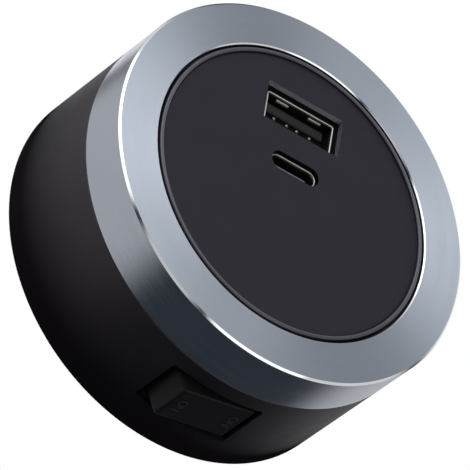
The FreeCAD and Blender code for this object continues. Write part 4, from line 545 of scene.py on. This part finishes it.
# The ports' insides are the plated sheet painted near black: painted shade.
port_inside_painted_shade = cut_metal("Port inside, painted shade", (0.05, 0.046, 0.042), 0.5, 1800, (1.0, 0.12, 1.0))
screw_steel = cut_metal("Zinc plated steel", (0.55, 0.56, 0.57), 0.26, depth=0.000002, tarnish=0.4)
spring_steel = cut_metal("Spring wire", (0.5, 0.5, 0.5), 0.22, 4000, (1.0, 0.3, 1.0))
contact_tin = cut_metal("Bright contact", (0.42, 0.41, 0.39), 0.45, 3200, (1.0, 0.2, 1.0), 0.0000008, 0.1)
contact_nickel = cut_metal(
    "Nickel plated contact", (0.3, 0.29, 0.275), 0.45, 3200, (1.0, 0.2, 1.0), 0.0000008)
gold = cut_metal("Gold plated contact", (0.83, 0.6, 0.26), 0.18, 3200, (1.0, 0.2, 1.0), 0.0000008, 0.1)
brass = cut_metal("Stamped brass", (0.72, 0.53, 0.24), 0.24, 2400, (1.0, 1.0, 0.25), 0.0000015, 0.45)
tin = cut_metal("Tinned pin", (0.66, 0.66, 0.65), 0.32, 3000, depth=0.000003, tarnish=0.3)
can_metal = cut_metal("Aluminium can", (0.7, 0.7, 0.72), 0.3, 2200, (1.0, 0.1, 1.0))
insulator_black = moulded_plastic("Port insulator", (0.009, 0.009, 0.01), 0.42, 0.000002, 12000, 0.3, 0.35)
insulator_blue = moulded_plastic("Type C tongue's nose", (0.17, 0.21, 0.28), 0.32, 0.000002, 12000)
chip_black = moulded_plastic("Chip body", (0.02, 0.02, 0.021), 0.55, 0.000006, 9000, 0.2)
header_black = moulded_plastic("Header strip", (0.016, 0.016, 0.017), 0.45)
bobbin_black = moulded_plastic("Bobbin plastic", (0.03, 0.03, 0.032), 0.45)
sleeve_blue = moulded_plastic("Shrink sleeve", (0.012, 0.02, 0.06), 0.24, 0.000002, 5000)
film_yellow = moulded_plastic("Film capacitor shell", (0.55, 0.34, 0.03), 0.35)
lead_black = moulded_plastic("Black lead", (0.015, 0.015, 0.015), 0.5, 0.000004, 5000)
lead_brown = moulded_plastic("Brown lead", (0.12, 0.05, 0.02), 0.45, 0.000004, 5000)
lead_blue = moulded_plastic("Blue lead", (0.02, 0.08, 0.35), 0.45, 0.000004, 5000)
lead_green = moulded_plastic("Green and yellow lead", (0.16, 0.32, 0.04), 0.45, 0.000004, 5000)
board_green = board_material("Circuit board")
ferrite = sintered_material("Ferrite", (0.03, 0.03, 0.033))
dipped_blue = sintered_material("Dipped ceramic", (0.03, 0.1, 0.32))
tape_yellow = wound_material("Winding tape", (0.62, 0.4, 0.03), 340, 0.00002, 0.35)
copper = wound_material("Enamelled copper", (0.6, 0.24, 0.09), 900, 0.00008, 0.25, 1.0)
fuse_glass = glass_tube_material("Fuse glass")


# Trim ring; its materials after the first are numbered
RING_EDGE = 1
RING_SIDE = 2


def make_ring():
    foot_chamfer = 0.16
    outline = soften((
        (RING_OPENING, RING_UNDERSIDE, 0.1),
        (PUCK_RADIUS - RING_WALL, RING_UNDERSIDE, 0.2),
        (PUCK_RADIUS - RING_WALL, RING_FOOT, 0.1),
        (PUCK_RADIUS - foot_chamfer, RING_FOOT, 0.03),
        (PUCK_RADIUS, RING_FOOT - foot_chamfer, 0.05),
        (PUCK_RADIUS, FRONT + OUTER_CHAMFER, 0.05),
        (PUCK_RADIUS - OUTER_CHAMFER, FRONT, 0.05),
        (RING_OPENING + INNER_CHAMFER, FRONT, 0.03),
        (RING_OPENING, FRONT + INNER_CHAMFER, 0.03),
    ))
    bm = bmesh.new()
    lathe(bm, outline)
    ring = make_piece("TrimRing", bm, anodised)
    ring.data.materials.append(cut_edge)
    ring.data.materials.append(side_metal)
    slack = 0.02
    for polygon in ring.data.polygons:
        middle = polygon.center / MM
        radius = math.hypot(middle.x, middle.z)
        on_rim = radius > PUCK_RADIUS - OUTER_CHAMFER - slack or radius < RING_OPENING + INNER_CHAMFER + slack
        in_front = middle.y < FRONT + OUTER_CHAMFER + slack
        if abs(polygon.normal.y) < 0.2:
            polygon.material_index = RING_SIDE
        elif on_rim and in_front and abs(polygon.normal.y) < 0.95:
            polygon.material_index = RING_EDGE
    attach(ring, "socket")
    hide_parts("trim_ring")


# Housing; the patch of its wall that has the switch's opening reaches PATCH_STEPS to either side
OPENING = {"length": 17.0, "width": 11.0, "corner": 0.5}
PATCH_STEPS = 14
WALL_LEVELS = 16


def wall_point(radius, turn, height, depth=0.0):
    """A point of the side wall; turn is counted from the underside towards +X."""
    reach = radius - depth
    return (reach * math.sin(turn), height, -reach * math.cos(turn))


def opening_points(grow):
    """The switch opening's outline as (x, y) points, with as many points as the patch's border."""
    steps = 4
    arc_half = steps // 2
    long_parts = 2 * PATCH_STEPS - 2 * arc_half
    short_parts = WALL_LEVELS - 2 * arc_half
    loop = slot_loop(grow=grow, steps=steps, long_steps=long_parts, short_steps=short_parts, **OPENING)
    loop = loop[arc_half:] + loop[:arc_half]
    return [Vector((point.x, SWITCH_Y + point.y)) for point in loop]


def patch_border(edge, low, high):
    """The patch's border as (turn, height) points, in the order of the opening's outline."""
    corners = ((edge, high), (-edge, high), (-edge, low), (edge, low))
    counts = (2 * PATCH_STEPS, WALL_LEVELS, 2 * PATCH_STEPS, WALL_LEVELS)
    points = []
    for number, count in enumerate(counts):
        first = Vector(corners[number])
        second = Vector(corners[(number + 1) % 4])
        points += [first.lerp(second, step / count) for step in range(count)]
    return points


def wall_with_opening(bm, radius, low, high, grow):
    """A cylinder wall whose patch at the underside has the opening; gives the opening's row."""
    turn_step = 2 * math.pi / AROUND
    edge = PATCH_STEPS * turn_step
    levels = [low + (high - low) * level / WALL_LEVELS for level in range(WALL_LEVELS + 1)]
    columns = []
    for number in range(PATCH_STEPS, AROUND - PATCH_STEPS + 1):
        turn = number * turn_step
        columns.append(ring_of(bm, [wall_point(radius, turn, level) for level in levels]))
    bridge_rows(bm, columns, False)
    border = patch_border(edge, low, high)
    inner = [Vector((math.asin(point.x / radius), point.y)) for point in opening_points(grow)]
    rows = []
    parts = 9
    crowding = 1.35
    for part in range(parts + 1):
        share = (part / parts) ** crowding
        mixed = [first.lerp(second, share) for first, second in zip(inner, border)]
        rows.append(ring_of(bm, [wall_point(radius, point.x, point.y) for point in mixed]))
    bridge_rows(bm, rows)
    return rows[0]


def make_housing():
    bm = bmesh.new()
    edge_round = 0.45
    front_round = 0.1
    front_edge = RING_FOOT + front_round
    inside = PUCK_RADIUS - HOUSING_WALL
    inside_front = -19.0
    rim = 0.14
    outer = wall_with_opening(bm, PUCK_RADIUS, front_edge, -edge_round, rim)
    inner = wall_with_opening(bm, inside, inside_front, -COVER_THICKNESS, 0.0)
    rows = [outer]
    parts = 5
    for part in range(1, parts + 1):
        turn = math.pi / 2 * part / parts
        grow = rim * (1 - math.sin(turn))
        depth = rim * (1 - math.cos(turn))
        points = opening_points(grow)
        rows.append(ring_of(bm, [
            wall_point(PUCK_RADIUS, math.asin(point.x / PUCK_RADIUS), point.y, depth) for point in points
        ]))
    bridge_rows(bm, [*rows, inner])

    step_radius = NECK_INSIDE - 1.7
    step_rear = FLANGE_UNDERSIDE + 1.5
    outline = soften((
        (PUCK_RADIUS, front_edge, 0.0),
        (PUCK_RADIUS - front_round, RING_FOOT, 0.0),
        (NECK_OUTSIDE, RING_FOOT, 0.1),
        (NECK_OUTSIDE, RING_UNDERSIDE, 0.15),
        (NECK_INSIDE, RING_UNDERSIDE, 0.15),
        (NECK_INSIDE, FLANGE_UNDERSIDE, 0.1),
        (step_radius, FLANGE_UNDERSIDE, 0.1),
        (step_radius, step_rear, 0.1),
        (NECK_INSIDE, step_rear, 0.1),
        (NECK_INSIDE, RING_FOOT + 1.15, 0.1),
        (inside, inside_front, 0.0),
    ), closed=False)
    lathe(bm, outline, closed=False)
    cover_seat = PUCK_RADIUS - 1.6
    rear = soften((
        (inside, -COVER_THICKNESS, 0.0),
        (cover_seat, -COVER_THICKNESS, 0.1),
        (cover_seat, 0.0, 0.12),
        (PUCK_RADIUS, 0.0, edge_round),
        (PUCK_RADIUS, -edge_round - 0.001, 0.0),
    ), closed=False)
    lathe(bm, rear, closed=False)
    housing = make_piece("Housing", bm, black_plastic)
    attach(housing, "socket")
    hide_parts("housing")


# Face plate; its materials after the first are numbered
LIP = 1
# Numbers for the recess walls painted lighter (painted light) and for the recess floor and the holes' walls
# painted near black (painted shade)
PAINTED_LIGHT_WALL = 2
PAINTED_SHADE_FLOOR = 3
PAINTED_LIGHT_TOP_WALL = 4
RECESS = {"length": 14.6, "width": 7.26, "corner": 0.25}
RECESS_Z = PORT_A_Z + 0.12
RECESS_FLOOR_Y = FACE + 1.2
HOLE_A = {"length": 13.3, "width": 5.92, "corner": 0.35}
HOLE_C = {"length": 9.04, "width": 3.26, "corner": 1.63}


def rounded_edge(bm, shape, up, radius, border):
    """A flat border round a hole in the face, and the hole's rounded edge; gives its outer and inner row."""
    rows = [slot_row(bm, shape, FACE, up, radius)]
    outer = slot_row(bm, shape, FACE, up, border)
    bridge(bm, outer, rows[0])
    parts = 4
    for part in range(1, parts + 1):
        turn = math.pi / 2 * part / parts
        height = FACE + radius * (1 - math.cos(turn))
        rows.append(slot_row(bm, shape, height, up, radius * (1 - math.sin(turn))))
    bridge_rows(bm, rows)
    return outer, rows[-1]


def within(point, shape, up):
    """Whether a point lies within a hole in the face, seen from the front."""
    slack = 0.03
    return abs(point.x) < shape["length"] / 2 + slack and abs(point.z - up) < shape["width"] / 2 + slack


def make_face():
    bm = bmesh.new()
    disc_radius = LIP_RADIUS - LIP_WIDTH - GROOVE_WIDTH
    groove_floor = FACE + GROOVE_DEPTH
    flange_radius = NECK_INSIDE - 0.1
    rim = 0.05
    profile = soften((
        (disc_radius - rim, FACE, 0.0),
        (disc_radius, FACE, 0.04),
        (disc_radius, groove_floor, 0.08),
        (LIP_RADIUS - LIP_WIDTH, groove_floor, 0.08),
        (LIP_RADIUS - LIP_WIDTH, FRONT, 0.38),
        (LIP_RADIUS, FRONT, 0.38),
        (LIP_RADIUS, RING_UNDERSIDE, 0.1),
        (flange_radius, RING_UNDERSIDE, 0.1),
        (flange_radius, FLANGE_UNDERSIDE, 0.1),
        (disc_radius - rim, FLANGE_UNDERSIDE, 0.0),
    ), closed=False)
    front_row, back_row = lathe(bm, profile, closed=False)
    flat_row = ring_of(bm, turned_points(disc_radius - rim - 0.6, FACE))
    bridge(bm, front_row, flat_row)

    recess_flat, recess_edge = rounded_edge(bm, RECESS, RECESS_Z, 0.06, 0.56)
    chamfer = 0.08
    rows = [recess_edge]
    for shape, grow, height, up in (
        (RECESS, 0.0, RECESS_FLOOR_Y - chamfer, RECESS_Z),
        (RECESS, -chamfer, RECESS_FLOOR_Y, RECESS_Z),
        (HOLE_A, chamfer, RECESS_FLOOR_Y, PORT_A_Z),
        (HOLE_A, 0.0, RECESS_FLOOR_Y + chamfer, PORT_A_Z),
        (HOLE_A, 0.0, FLANGE_UNDERSIDE, PORT_A_Z),
    ):
        rows.append(slot_row(bm, shape, height, up, grow))
    bridge_rows(bm, rows)
    hole_back = rows[-1]

    slot_flat, slot_edge = rounded_edge(bm, HOLE_C, PORT_C_Z, 0.12, 0.6)
    slot_back = slot_row(bm, HOLE_C, FLANGE_UNDERSIDE, PORT_C_Z)
    bridge(bm, slot_edge, slot_back)

    fill_between(bm, (flat_row, recess_flat, slot_flat))
    fill_between(bm, (back_row, hole_back, slot_back))

    for number in range(3):
        turn = math.radians(90 + 120 * number)
        circle = 25.0
        post(bm, circle * math.cos(turn), circle * math.sin(turn), 2.7, 1.05, -COVER_THICKNESS)
    for side in (-1, 1):
        for up in (0.9, 19.9):
            post(bm, side * 8.7, up, 1.6, 1.0, BOARD_FRONT)
    face = make_piece("FacePlate", bm, face_plastic)
    for polygon in face.data.polygons:
        middle = polygon.center / MM
        radius = math.hypot(middle.x, middle.z)
        on_lip = LIP_RADIUS - LIP_WIDTH - 0.02 < radius < LIP_RADIUS + 0.01 and middle.y < groove_floor
        in_recess = within(middle, RECESS, RECESS_Z)
        in_slot = within(middle, HOLE_C, PORT_C_Z)
        # Only the lip's faces towards the front take the grey lip plastic; its outer flank keeps the black
        # face plastic as painted shade from the ring
        if on_lip and polygon.normal.y < -0.5:
            polygon.material_index = LIP
        # The recess walls take painted light, most of all the top wall that faces down; the recess floor and
        # the holes' walls take painted shade
        elif in_recess and FACE + 0.03 < middle.y < RECESS_FLOOR_Y - 0.05:
            polygon.material_index = PAINTED_LIGHT_TOP_WALL if polygon.normal.z < -0.7 else PAINTED_LIGHT_WALL
        elif (in_recess or in_slot) and FACE + 0.05 < middle.y:
            polygon.material_index = PAINTED_SHADE_FLOOR
    for material in (lip_plastic, wall_painted_light, floor_painted_shade, top_wall_painted_light):
        face.data.materials.append(material)
    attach(face, "socket")
    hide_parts("face_plate")


def post(bm, across, up, outside, bore, end):
    """A hollow screw post behind the face plate."""
    rows = []
    for radius, height in (
        (outside, FLANGE_UNDERSIDE - 0.5),
        (outside, end - 0.15),
        (outside - 0.15, end),
        (bore + 0.1, end),
        (bore, end - 0.1),
        (bore, end - 5.0),
    ):
        points = turned_points(radius, height, SMALL_AROUND)
        rows.append(ring_of(bm, [(x + across, y, z + up) for x, y, z in points]))
    bridge_rows(bm, rows)
    bm.faces.new(rows[-1])


# Both ports' shells: tubes with a full round at the mouth; the numbers are those of their materials
OUTSIDE = 0
RIM = 1
INSIDE = 2
TAB = 3


def port_shell(bm, shape, front, middle):
    """Adds the tube of a port's shell to a mesh."""
    round_steps = 8
    round_radius = SHELL_WALL / 2
    rows = [(0.0, BOARD_FRONT, OUTSIDE), (0.0, front + 1.0, OUTSIDE)]
    for step in range(round_steps + 1):
        turn = math.pi * step / round_steps
        rows.append((round_radius * (math.cos(turn) - 1), front + round_radius * (1 - math.sin(turn)), RIM))
    # The inside rows take the metal painted near black, as painted shade.
    rows += [(-SHELL_WALL, front + 0.45, INSIDE), (-SHELL_WALL, BOARD_FRONT, INSIDE)]
    loops = [slot_row(bm, shape, height, middle, grow, 10) for grow, height, _ in rows]
    for number, (_, _, metal) in enumerate(rows):
        bridge(bm, loops[number], loops[(number + 1) % len(loops)], metal=metal)


def place_shell(shell, node_name):
    """Gives a port's shell its rim metal, its inside metal painted near black as painted shade, and its place
    in the assembly.
    """
    shell.data.materials.append(port_rim)
    shell.data.materials.append(port_inside_painted_shade)
    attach(shell, "socket")
    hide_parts(node_name)


# Type A port
def make_port_a():
    bm = bmesh.new()
    port_shell(bm, SHELL_A, PORT_A_FRONT, PORT_A_Z)
    top_inside = PORT_A_Z + SHELL_A["width"] / 2 - SHELL_WALL
    down = (0.0, 0.0, -1.0)
    tab = soften(((-1.2, -0.06, 0.05), (1.2, -0.06, 0.05), (1.2, 0.06, 0.05), (-1.2, 0.06, 0.05)))
    tab_middle = 3.15
    for side in (-1, 1):
        path = []
        for depth, drop in (
            (4.2, 0.02), (3.2, 0.08), (2.2, 0.17), (1.4, 0.26),
            (1.05, 0.29), (0.85, 0.28), (0.7, 0.22), (0.62, 0.12),
        ):
            path.append((side * tab_middle, PORT_A_FRONT + depth, top_inside - drop))
        sweep(bm, path, tab, down)
    shell = make_piece("TypeAShell", bm, port_steel, 40)
    place_shell(shell, "usb_a_shell")
    shell.data.materials.append(contact_tin)
    # The tabs' fronts take the bright contact metal; their rear parts take the inside metal painted near
    # black, as painted shade
    for polygon in shell.data.polygons:
        middle = polygon.center / MM
        if abs(middle.x) < 4.6 and top_inside - 0.75 < middle.z < top_inside - 0.01:
            polygon.material_index = TAB if middle.y < PORT_A_FRONT + 1.1 else INSIDE

    tongue_top = top_inside - 0.72
    tongue_low = tongue_top - 1.84
    half = 11.1 / 2
    base_x = 6.2
    base_z = 2.51
    tip = PORT_A_FRONT + 1.4
    base_end = BOARD_FRONT - 3.5
    bm = bmesh.new()
    soft_box(bm, (-base_x, base_end, PORT_A_Z - base_z), (base_x, BOARD_FRONT, PORT_A_Z + base_z), 0.15)
    outline = soften((
        (BOARD_FRONT, tongue_top, 0.0),
        (tip, tongue_top, 0.35),
        (tip, tongue_low, 0.5),
        (BOARD_FRONT, tongue_low, 0.0),
    ), closed=False)
    middle = (tongue_top + tongue_low) / 2
    side_rows = ((half, 0.18), (half - 0.06, 0.05), (half - 0.2, 0.0))
    rows = []
    for across, inset in (*((-place, inset) for place, inset in side_rows), *reversed(side_rows)):
        points = []
        for y, z in outline:
            inward = inset if z < middle else -inset
            points.append((across, y + (inset if y < BOARD_FRONT - 0.1 else 0.0), z + inward))
        rows.append(ring_of(bm, points))
    bridge_rows(bm, rows)
    close_ends(bm, rows)
    insulator = make_piece("TypeAInsulator", bm, insulator_black)
    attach(insulator, "socket")
    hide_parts("usb_a_insulator")

    bm = bmesh.new()
    strip = soften(((-0.34, -0.02, 0.05), (0.34, -0.02, 0.05), (0.34, 0.16, 0.07), (-0.34, 0.16, 0.07)))
    bead = tip + 0.65
    for across in (-3.5, -1.0, 1.0, 3.5):
        path = []
        for y, drop in (
            (base_end - 0.05, 0.0), (base_end - 1.5, 0.02), (tip + 3.0, 0.04), (tip + 2.2, 0.07),
            (tip + 1.6, 0.12), (tip + 1.2, 0.16), (tip + 0.9, 0.16), (bead, 0.12),
        ):
            path.append((across, y, tongue_low - drop))
        sweep(bm, path, strip, down)
        place = Matrix.Translation((across, bead, tongue_low - 0.27))
        bmesh.ops.create_uvsphere(bm, u_segments=24, v_segments=16, radius=0.34, matrix=place)
    contacts = make_piece("TypeAContacts", bm, contact_nickel, 40)
    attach(contacts, "socket")
    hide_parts("usb_a_contacts")


# Type C port
def make_port_c():
    bm = bmesh.new()
    port_shell(bm, SHELL_C, PORT_C_FRONT, PORT_C_Z)
    shell = make_piece("TypeCShell", bm, port_steel)
    place_shell(shell, "usb_c_shell")

    bm = bmesh.new()
    tip = PORT_C_FRONT + 1.1
    base_end = tip + 4.4
    base = {"length": 8.24, "width": 2.46, "corner": 1.23}
    rows = []
    for grow, height in ((0.0, BOARD_FRONT), (0.0, base_end + 0.08), (-0.08, base_end)):
        rows.append(slot_row(bm, base, height, PORT_C_Z, grow, 12))
    bridge_rows(bm, rows)
    close_ends(bm, rows)
    rows = []
    for length, width, height in (
        (6.69, 0.7, base_end), (6.69, 0.7, tip + 0.32), (6.6, 0.66, tip + 0.16), (6.35, 0.5, tip + 0.04),
        (6.1, 0.34, tip),
    ):
        shape = {"length": length, "width": width, "corner": 0.12}
        rows.append(slot_row(bm, shape, height, PORT_C_Z, steps=4))
    bridge_rows(bm, rows)
    bm.faces.new(list(reversed(rows[-1])))
    insulator = make_piece("TypeCInsulator", bm, insulator_black)
    insulator.data.materials.append(insulator_blue)
    for polygon in insulator.data.polygons:
        if polygon.center.y / MM < tip + 0.2:
            polygon.material_index = 1
    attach(insulator, "socket")
    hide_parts("usb_c_insulator")
    dress("usb_c_contacts", gold, 0.0)


# Rocker
ROCKER_TOP = -6.37


def rocker_turn():
    """From the rocker's own place about its pivot to its place at rest."""
    return Matrix.Translation((0.0, SWITCH_Y, ROCKER_PIVOT_Z)) @ Matrix.Rotation(ROCKER_TILT, 4, "Y")


def make_rocker():
    bm = bmesh.new()
    half = 4.3
    foot = -0.6
    right = ((6.5, ROCKER_TOP), (7.79, -3.0), (8.14, -1.9), (8.33, foot))
    corners = (*right, *((-x, z) for x, z in reversed(right)))
    sides = [ring_of(bm, [(x, y, z) for x, z in corners]) for y in (-half, half)]
    bridge_rows(bm, sides)
    close_ends(bm, sides)
    bmesh.ops.recalc_face_normals(bm, faces=bm.faces)
    edges = [edge for edge in bm.edges if min(vert.co.z for vert in edge.verts) < foot - 0.1]
    bmesh.ops.bevel(bm, geom=edges, offset=0.42, segments=5, profile=0.5, affect="EDGES")
    stub_radius = 1.2
    for side in (-1, 1):
        reaches = (half - 0.02, half + 1.35)
        rows = [ring_of(bm, turned_points(stub_radius, side * reach, SMALL_AROUND)) for reach in reaches]
        bridge_rows(bm, rows)
        bm.faces.new(rows[-1])
    soft_box(bm, (-2.1, -2.1, -1.0), (2.1, 2.1, 1.9), 0.2)
    bmesh.ops.transform(bm, matrix=rocker_turn(), verts=bm.verts)
    rocker = make_piece("Rocker", bm, switch_plastic)
    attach(rocker, "rocker")
    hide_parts("rocker")


def make_mark(name, words, across):
    """Raised letters on the rocker's top."""
    letters = bpy.data.curves.new(name, "FONT")
    letters.body = words
    letters.size = 2.1 * MM
    letters.extrude = 0.05 * MM
    letters.bevel_depth = 0.02 * MM
    letters.bevel_resolution = 1
    letters.align_x = "CENTER"
    letters.align_y = "CENTER"
    holder = add_object(name + "Letters", letters)
    bpy.context.view_layer.update()
    shape = bpy.data.meshes.new_from_object(holder.evaluated_get(bpy.context.evaluated_depsgraph_get()))
    bpy.data.objects.remove(holder)
    shape.name = name
    face_down = Matrix.Rotation(math.pi, 4, "X")
    along = Matrix.Rotation(math.pi / 2, 4, "Z")
    top = Matrix.Translation((across * MM, 0.0, ROCKER_TOP * MM))
    turn = rocker_turn()
    turn.translation *= MM
    shape.transform(turn @ top @ along @ face_down)
    mark = add_object(name, shape)
    shape.materials.clear()
    shape.materials.append(mark_paint)
    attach(mark, "rocker")


# Springs
def make_spring(title, name, body):
    """The coil of a spring's solid, as a piece of its own with its own mesh."""
    bm = bmesh.new()
    bm.from_mesh(nodes[name].data)
    bmesh.ops.transform(bm, matrix=Matrix.Scale(1 / MM, 4) @ nodes[name].matrix_world, verts=bm.verts)
    spring = make_piece(title, bm, spring_steel, 40)
    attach(spring, body)
    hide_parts(name)
    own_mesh(spring)


make_ring()
make_housing()
make_face()
make_port_a()
make_port_c()
make_rocker()
make_spring("PlungerSpring", "plunger_spring", "rocker")
make_spring("LiveSpring", "live_spring", "socket")
make_spring("NeutralSpring", "neutral_spring", "socket")
make_spring("EarthSpring", "earth_spring", "socket")
make_mark("MarkOn", "ON", -4.7)
make_mark("MarkOff", "OFF", 4.7)

for name, material, bevel in (
    ("back_cover", rear_plastic, 0.15),
    ("case_screws", screw_steel, 0.08),
    ("output_board", board_green, 0.05),
    ("output_board_screws", screw_steel, 0.06),
    ("charge_chip", chip_black, 0.08),
    ("power_board", board_green, 0.05),
    ("power_board_screws", screw_steel, 0.06),
    ("board_header", header_black, 0.08),
    ("header_pins", tin, 0.03),
    ("transformer_core", ferrite, 0.15),
    ("transformer_bobbin", bobbin_black, 0.08),
    ("transformer_winding", tape_yellow, 0.0),
    ("input_capacitors", sleeve_blue, 0.3),
    ("output_capacitor", can_metal, 0.25),
    ("choke_core", ferrite, 0.12),
    ("choke_winding", copper, 0.0),
    ("fuse", fuse_glass, 0.0),
    ("x_capacitor", film_yellow, 0.2),
    ("y_capacitor", dipped_blue, 0.3),
    ("bridge_rectifier", chip_black, 0.1),
    ("switching_chip", chip_black, 0.1),
    ("optocoupler", chip_black, 0.1),
    ("rocker_plunger", bobbin_black, 0.0),
    ("switch_case", case_plastic, 0.12),
    ("common_terminal", brass, 0.05),
    ("load_terminal", brass, 0.04),
    ("moving_contact", brass, 0.06),
    ("switch_leads", lead_black, 0.0),
    ("tongue_body", rear_plastic, 0.15),
    ("tongue_cap", rear_plastic, 0.1),
    ("tongue_screws", screw_steel, 0.06),
    ("tongue_cap_screws", screw_steel, 0.05),
    ("live_contact", brass, 0.1),
    ("neutral_contact", brass, 0.1),
    ("earth_contact", brass, 0.0),
    ("live_lead", lead_brown, 0.0),
    ("neutral_lead", lead_blue, 0.0),
    ("earth_lead", lead_green, 0.0),
):
    dress(name, material, bevel)


# Camera: the front's normal in the camera's axes is given by two angles, the roll by a third; the place of
# the front's middle is in the same axes, as multiples of the puck's radius
FRONT_ANGLES = (-36.1, 46.62, 33.9)
FRONT_PLACE = Vector((0.2755, -0.2045, 28.24))
PICTURE_PIXELS = 470.0
FOCAL_PIXELS = 6000.0
SENSOR_MM = 36.0


def make_camera():
    swing, tip, roll = map(math.radians, FRONT_ANGLES)
    front = Vector((math.sin(tip) * math.cos(swing), math.sin(tip) * math.sin(swing), -math.cos(tip)))
    side = Vector((-math.sin(swing), math.cos(swing), 0.0))
    other = front.cross(side)
    x_axis = side * math.cos(roll) + other * math.sin(roll)
    z_axis = other * math.cos(roll) - side * math.sin(roll)
    to_camera = Matrix((x_axis, -front, z_axis)).transposed()
    shift = FRONT_PLACE * PUCK_RADIUS * MM - to_camera @ Vector((0.0, FRONT * MM, 0.0))
    flip = Matrix.Diagonal((1.0, -1.0, -1.0))
    world_to_camera = (flip @ to_camera).to_4x4()
    world_to_camera.translation = flip @ shift
    data = bpy.data.cameras.new("Camera")
    data.sensor_fit = "HORIZONTAL"
    data.sensor_width = SENSOR_MM
    data.lens = FOCAL_PIXELS * SENSOR_MM / PICTURE_PIXELS
    data.clip_start = 0.05
    data.clip_end = 50.0
    camera = add_object("Camera", data)
    camera.matrix_world = world_to_camera.inverted()
    bpy.context.scene.camera = camera


# Light tent: even light from all round, and soft lamps, each with its direction, the cosines of the angles to
# it where the lamp begins and where it is full, and its strength
TENT_RADIUS = 0.45
TENT_BASE = (0.0265, 0.031, 0.039)
TENT_LAMPS = (
    ((0.41, -0.69, 0.60), 0.80, 0.98, 0.36),
    ((0.05, -0.99, 0.08), 0.82, 0.99, 0.55),
    ((-0.77, -0.51, 0.39), 0.80, 0.90, 1.2),
    ((-0.30, -0.80, 0.50), 0.75, 0.95, 1.05),
    ((-0.35, -0.14, 0.93), 0.85, 0.94, 0.3),
    ((-0.40, -0.18, 0.90), 0.95, 0.99, 0.35),
    ((0.75, -0.10, 0.66), 0.82, 0.97, 1.0),
    ((0.30, -0.63, -0.71), 0.90, 0.96, 1.2),
    ((-0.45, -0.73, -0.52), 0.93, 0.99, 0.5),
    ((0.88, -0.33, -0.30), 0.85, 0.95, 0.6),
    ((-0.70, 0.69, 0.20), 0.62, 0.86, 0.42),
    ((0.25, 0.69, 0.68), 0.92, 0.98, 0.85),
    ((0.66, 0.69, 0.30), 0.80, 1.00, 0.5),
    ((0.0, 0.98, 0.15), 0.80, 0.96, 0.8),
)


def make_tent():
    bm = bmesh.new()
    bmesh.ops.create_icosphere(bm, subdivisions=4, radius=TENT_RADIUS)
    mesh = bpy.data.meshes.new("LightTent")
    bm.to_mesh(mesh)
    bm.free()
    tent = add_object("LightTent", mesh)
    material, tree, _ = start_material("Light tent")
    tree.nodes.clear()
    direction = node(tree, "ShaderNodeVectorMath", operation="NORMALIZE")
    tree.links.new(place_of(tree), direction.inputs[0])
    total = None
    for towards, low, high, strength in TENT_LAMPS:
        facing = node(tree, "ShaderNodeVectorMath", operation="DOT_PRODUCT")
        tree.links.new(direction.outputs["Vector"], facing.inputs[0])
        facing.inputs[1].default_value = Vector(towards).normalized()
        lamp = spread(tree, facing.outputs["Value"], low, high, 0.0, strength)
        total = lamp if total is None else maths(tree, "ADD", total, lamp)
    lamps = node(tree, "ShaderNodeEmission", Color=(1.0, 1.0, 1.0, 1.0))
    tree.links.new(total, lamps.inputs["Strength"])
    even = node(tree, "ShaderNodeEmission", Color=(*TENT_BASE, 1.0), Strength=1.0)
    both = node(tree, "ShaderNodeAddShader")
    tree.links.new(lamps.outputs["Emission"], both.inputs[0])
    tree.links.new(even.outputs["Emission"], both.inputs[1])
    output = node(tree, "ShaderNodeOutputMaterial")
    tree.links.new(both.outputs["Shader"], output.inputs["Surface"])
    mesh.materials.append(material)
    tent.visible_camera = False


# Floor and world
FLOOR_REACH = 12.0
FLOOR_HEIGHT = -1.8


def make_floor():
    bm = bmesh.new()
    bmesh.ops.create_grid(bm, x_segments=8, y_segments=8, size=FLOOR_REACH)
    mesh = bpy.data.meshes.new("Floor")
    bm.to_mesh(mesh)
    bm.free()
    mesh.transform(Matrix.Translation((0.0, 0.0, FLOOR_HEIGHT)))
    floor = add_object("Floor", mesh)
    material, tree, shader = start_material("Pale floor")
    clouds = noise(tree, place_of(tree), 3.0)
    base = blend_colours(tree, clouds, (0.955, 0.955, 0.955), (0.975, 0.975, 0.975))
    tree.links.new(base, shader.inputs["Base Color"])
    shader.inputs["Roughness"].default_value = 0.9
    mesh.materials.append(material)


def make_world():
    world = bpy.data.worlds.new("Studio")
    bpy.context.scene.world = world
    world.use_nodes = True
    background = world.node_tree.nodes["Background"]
    background.inputs["Color"].default_value = (1.0, 1.0, 1.0, 1.0)
    background.inputs["Strength"].default_value = 1.0
    bpy.context.scene.view_settings.view_transform = "Standard"


make_camera()
make_tent()
make_floor()
make_world()
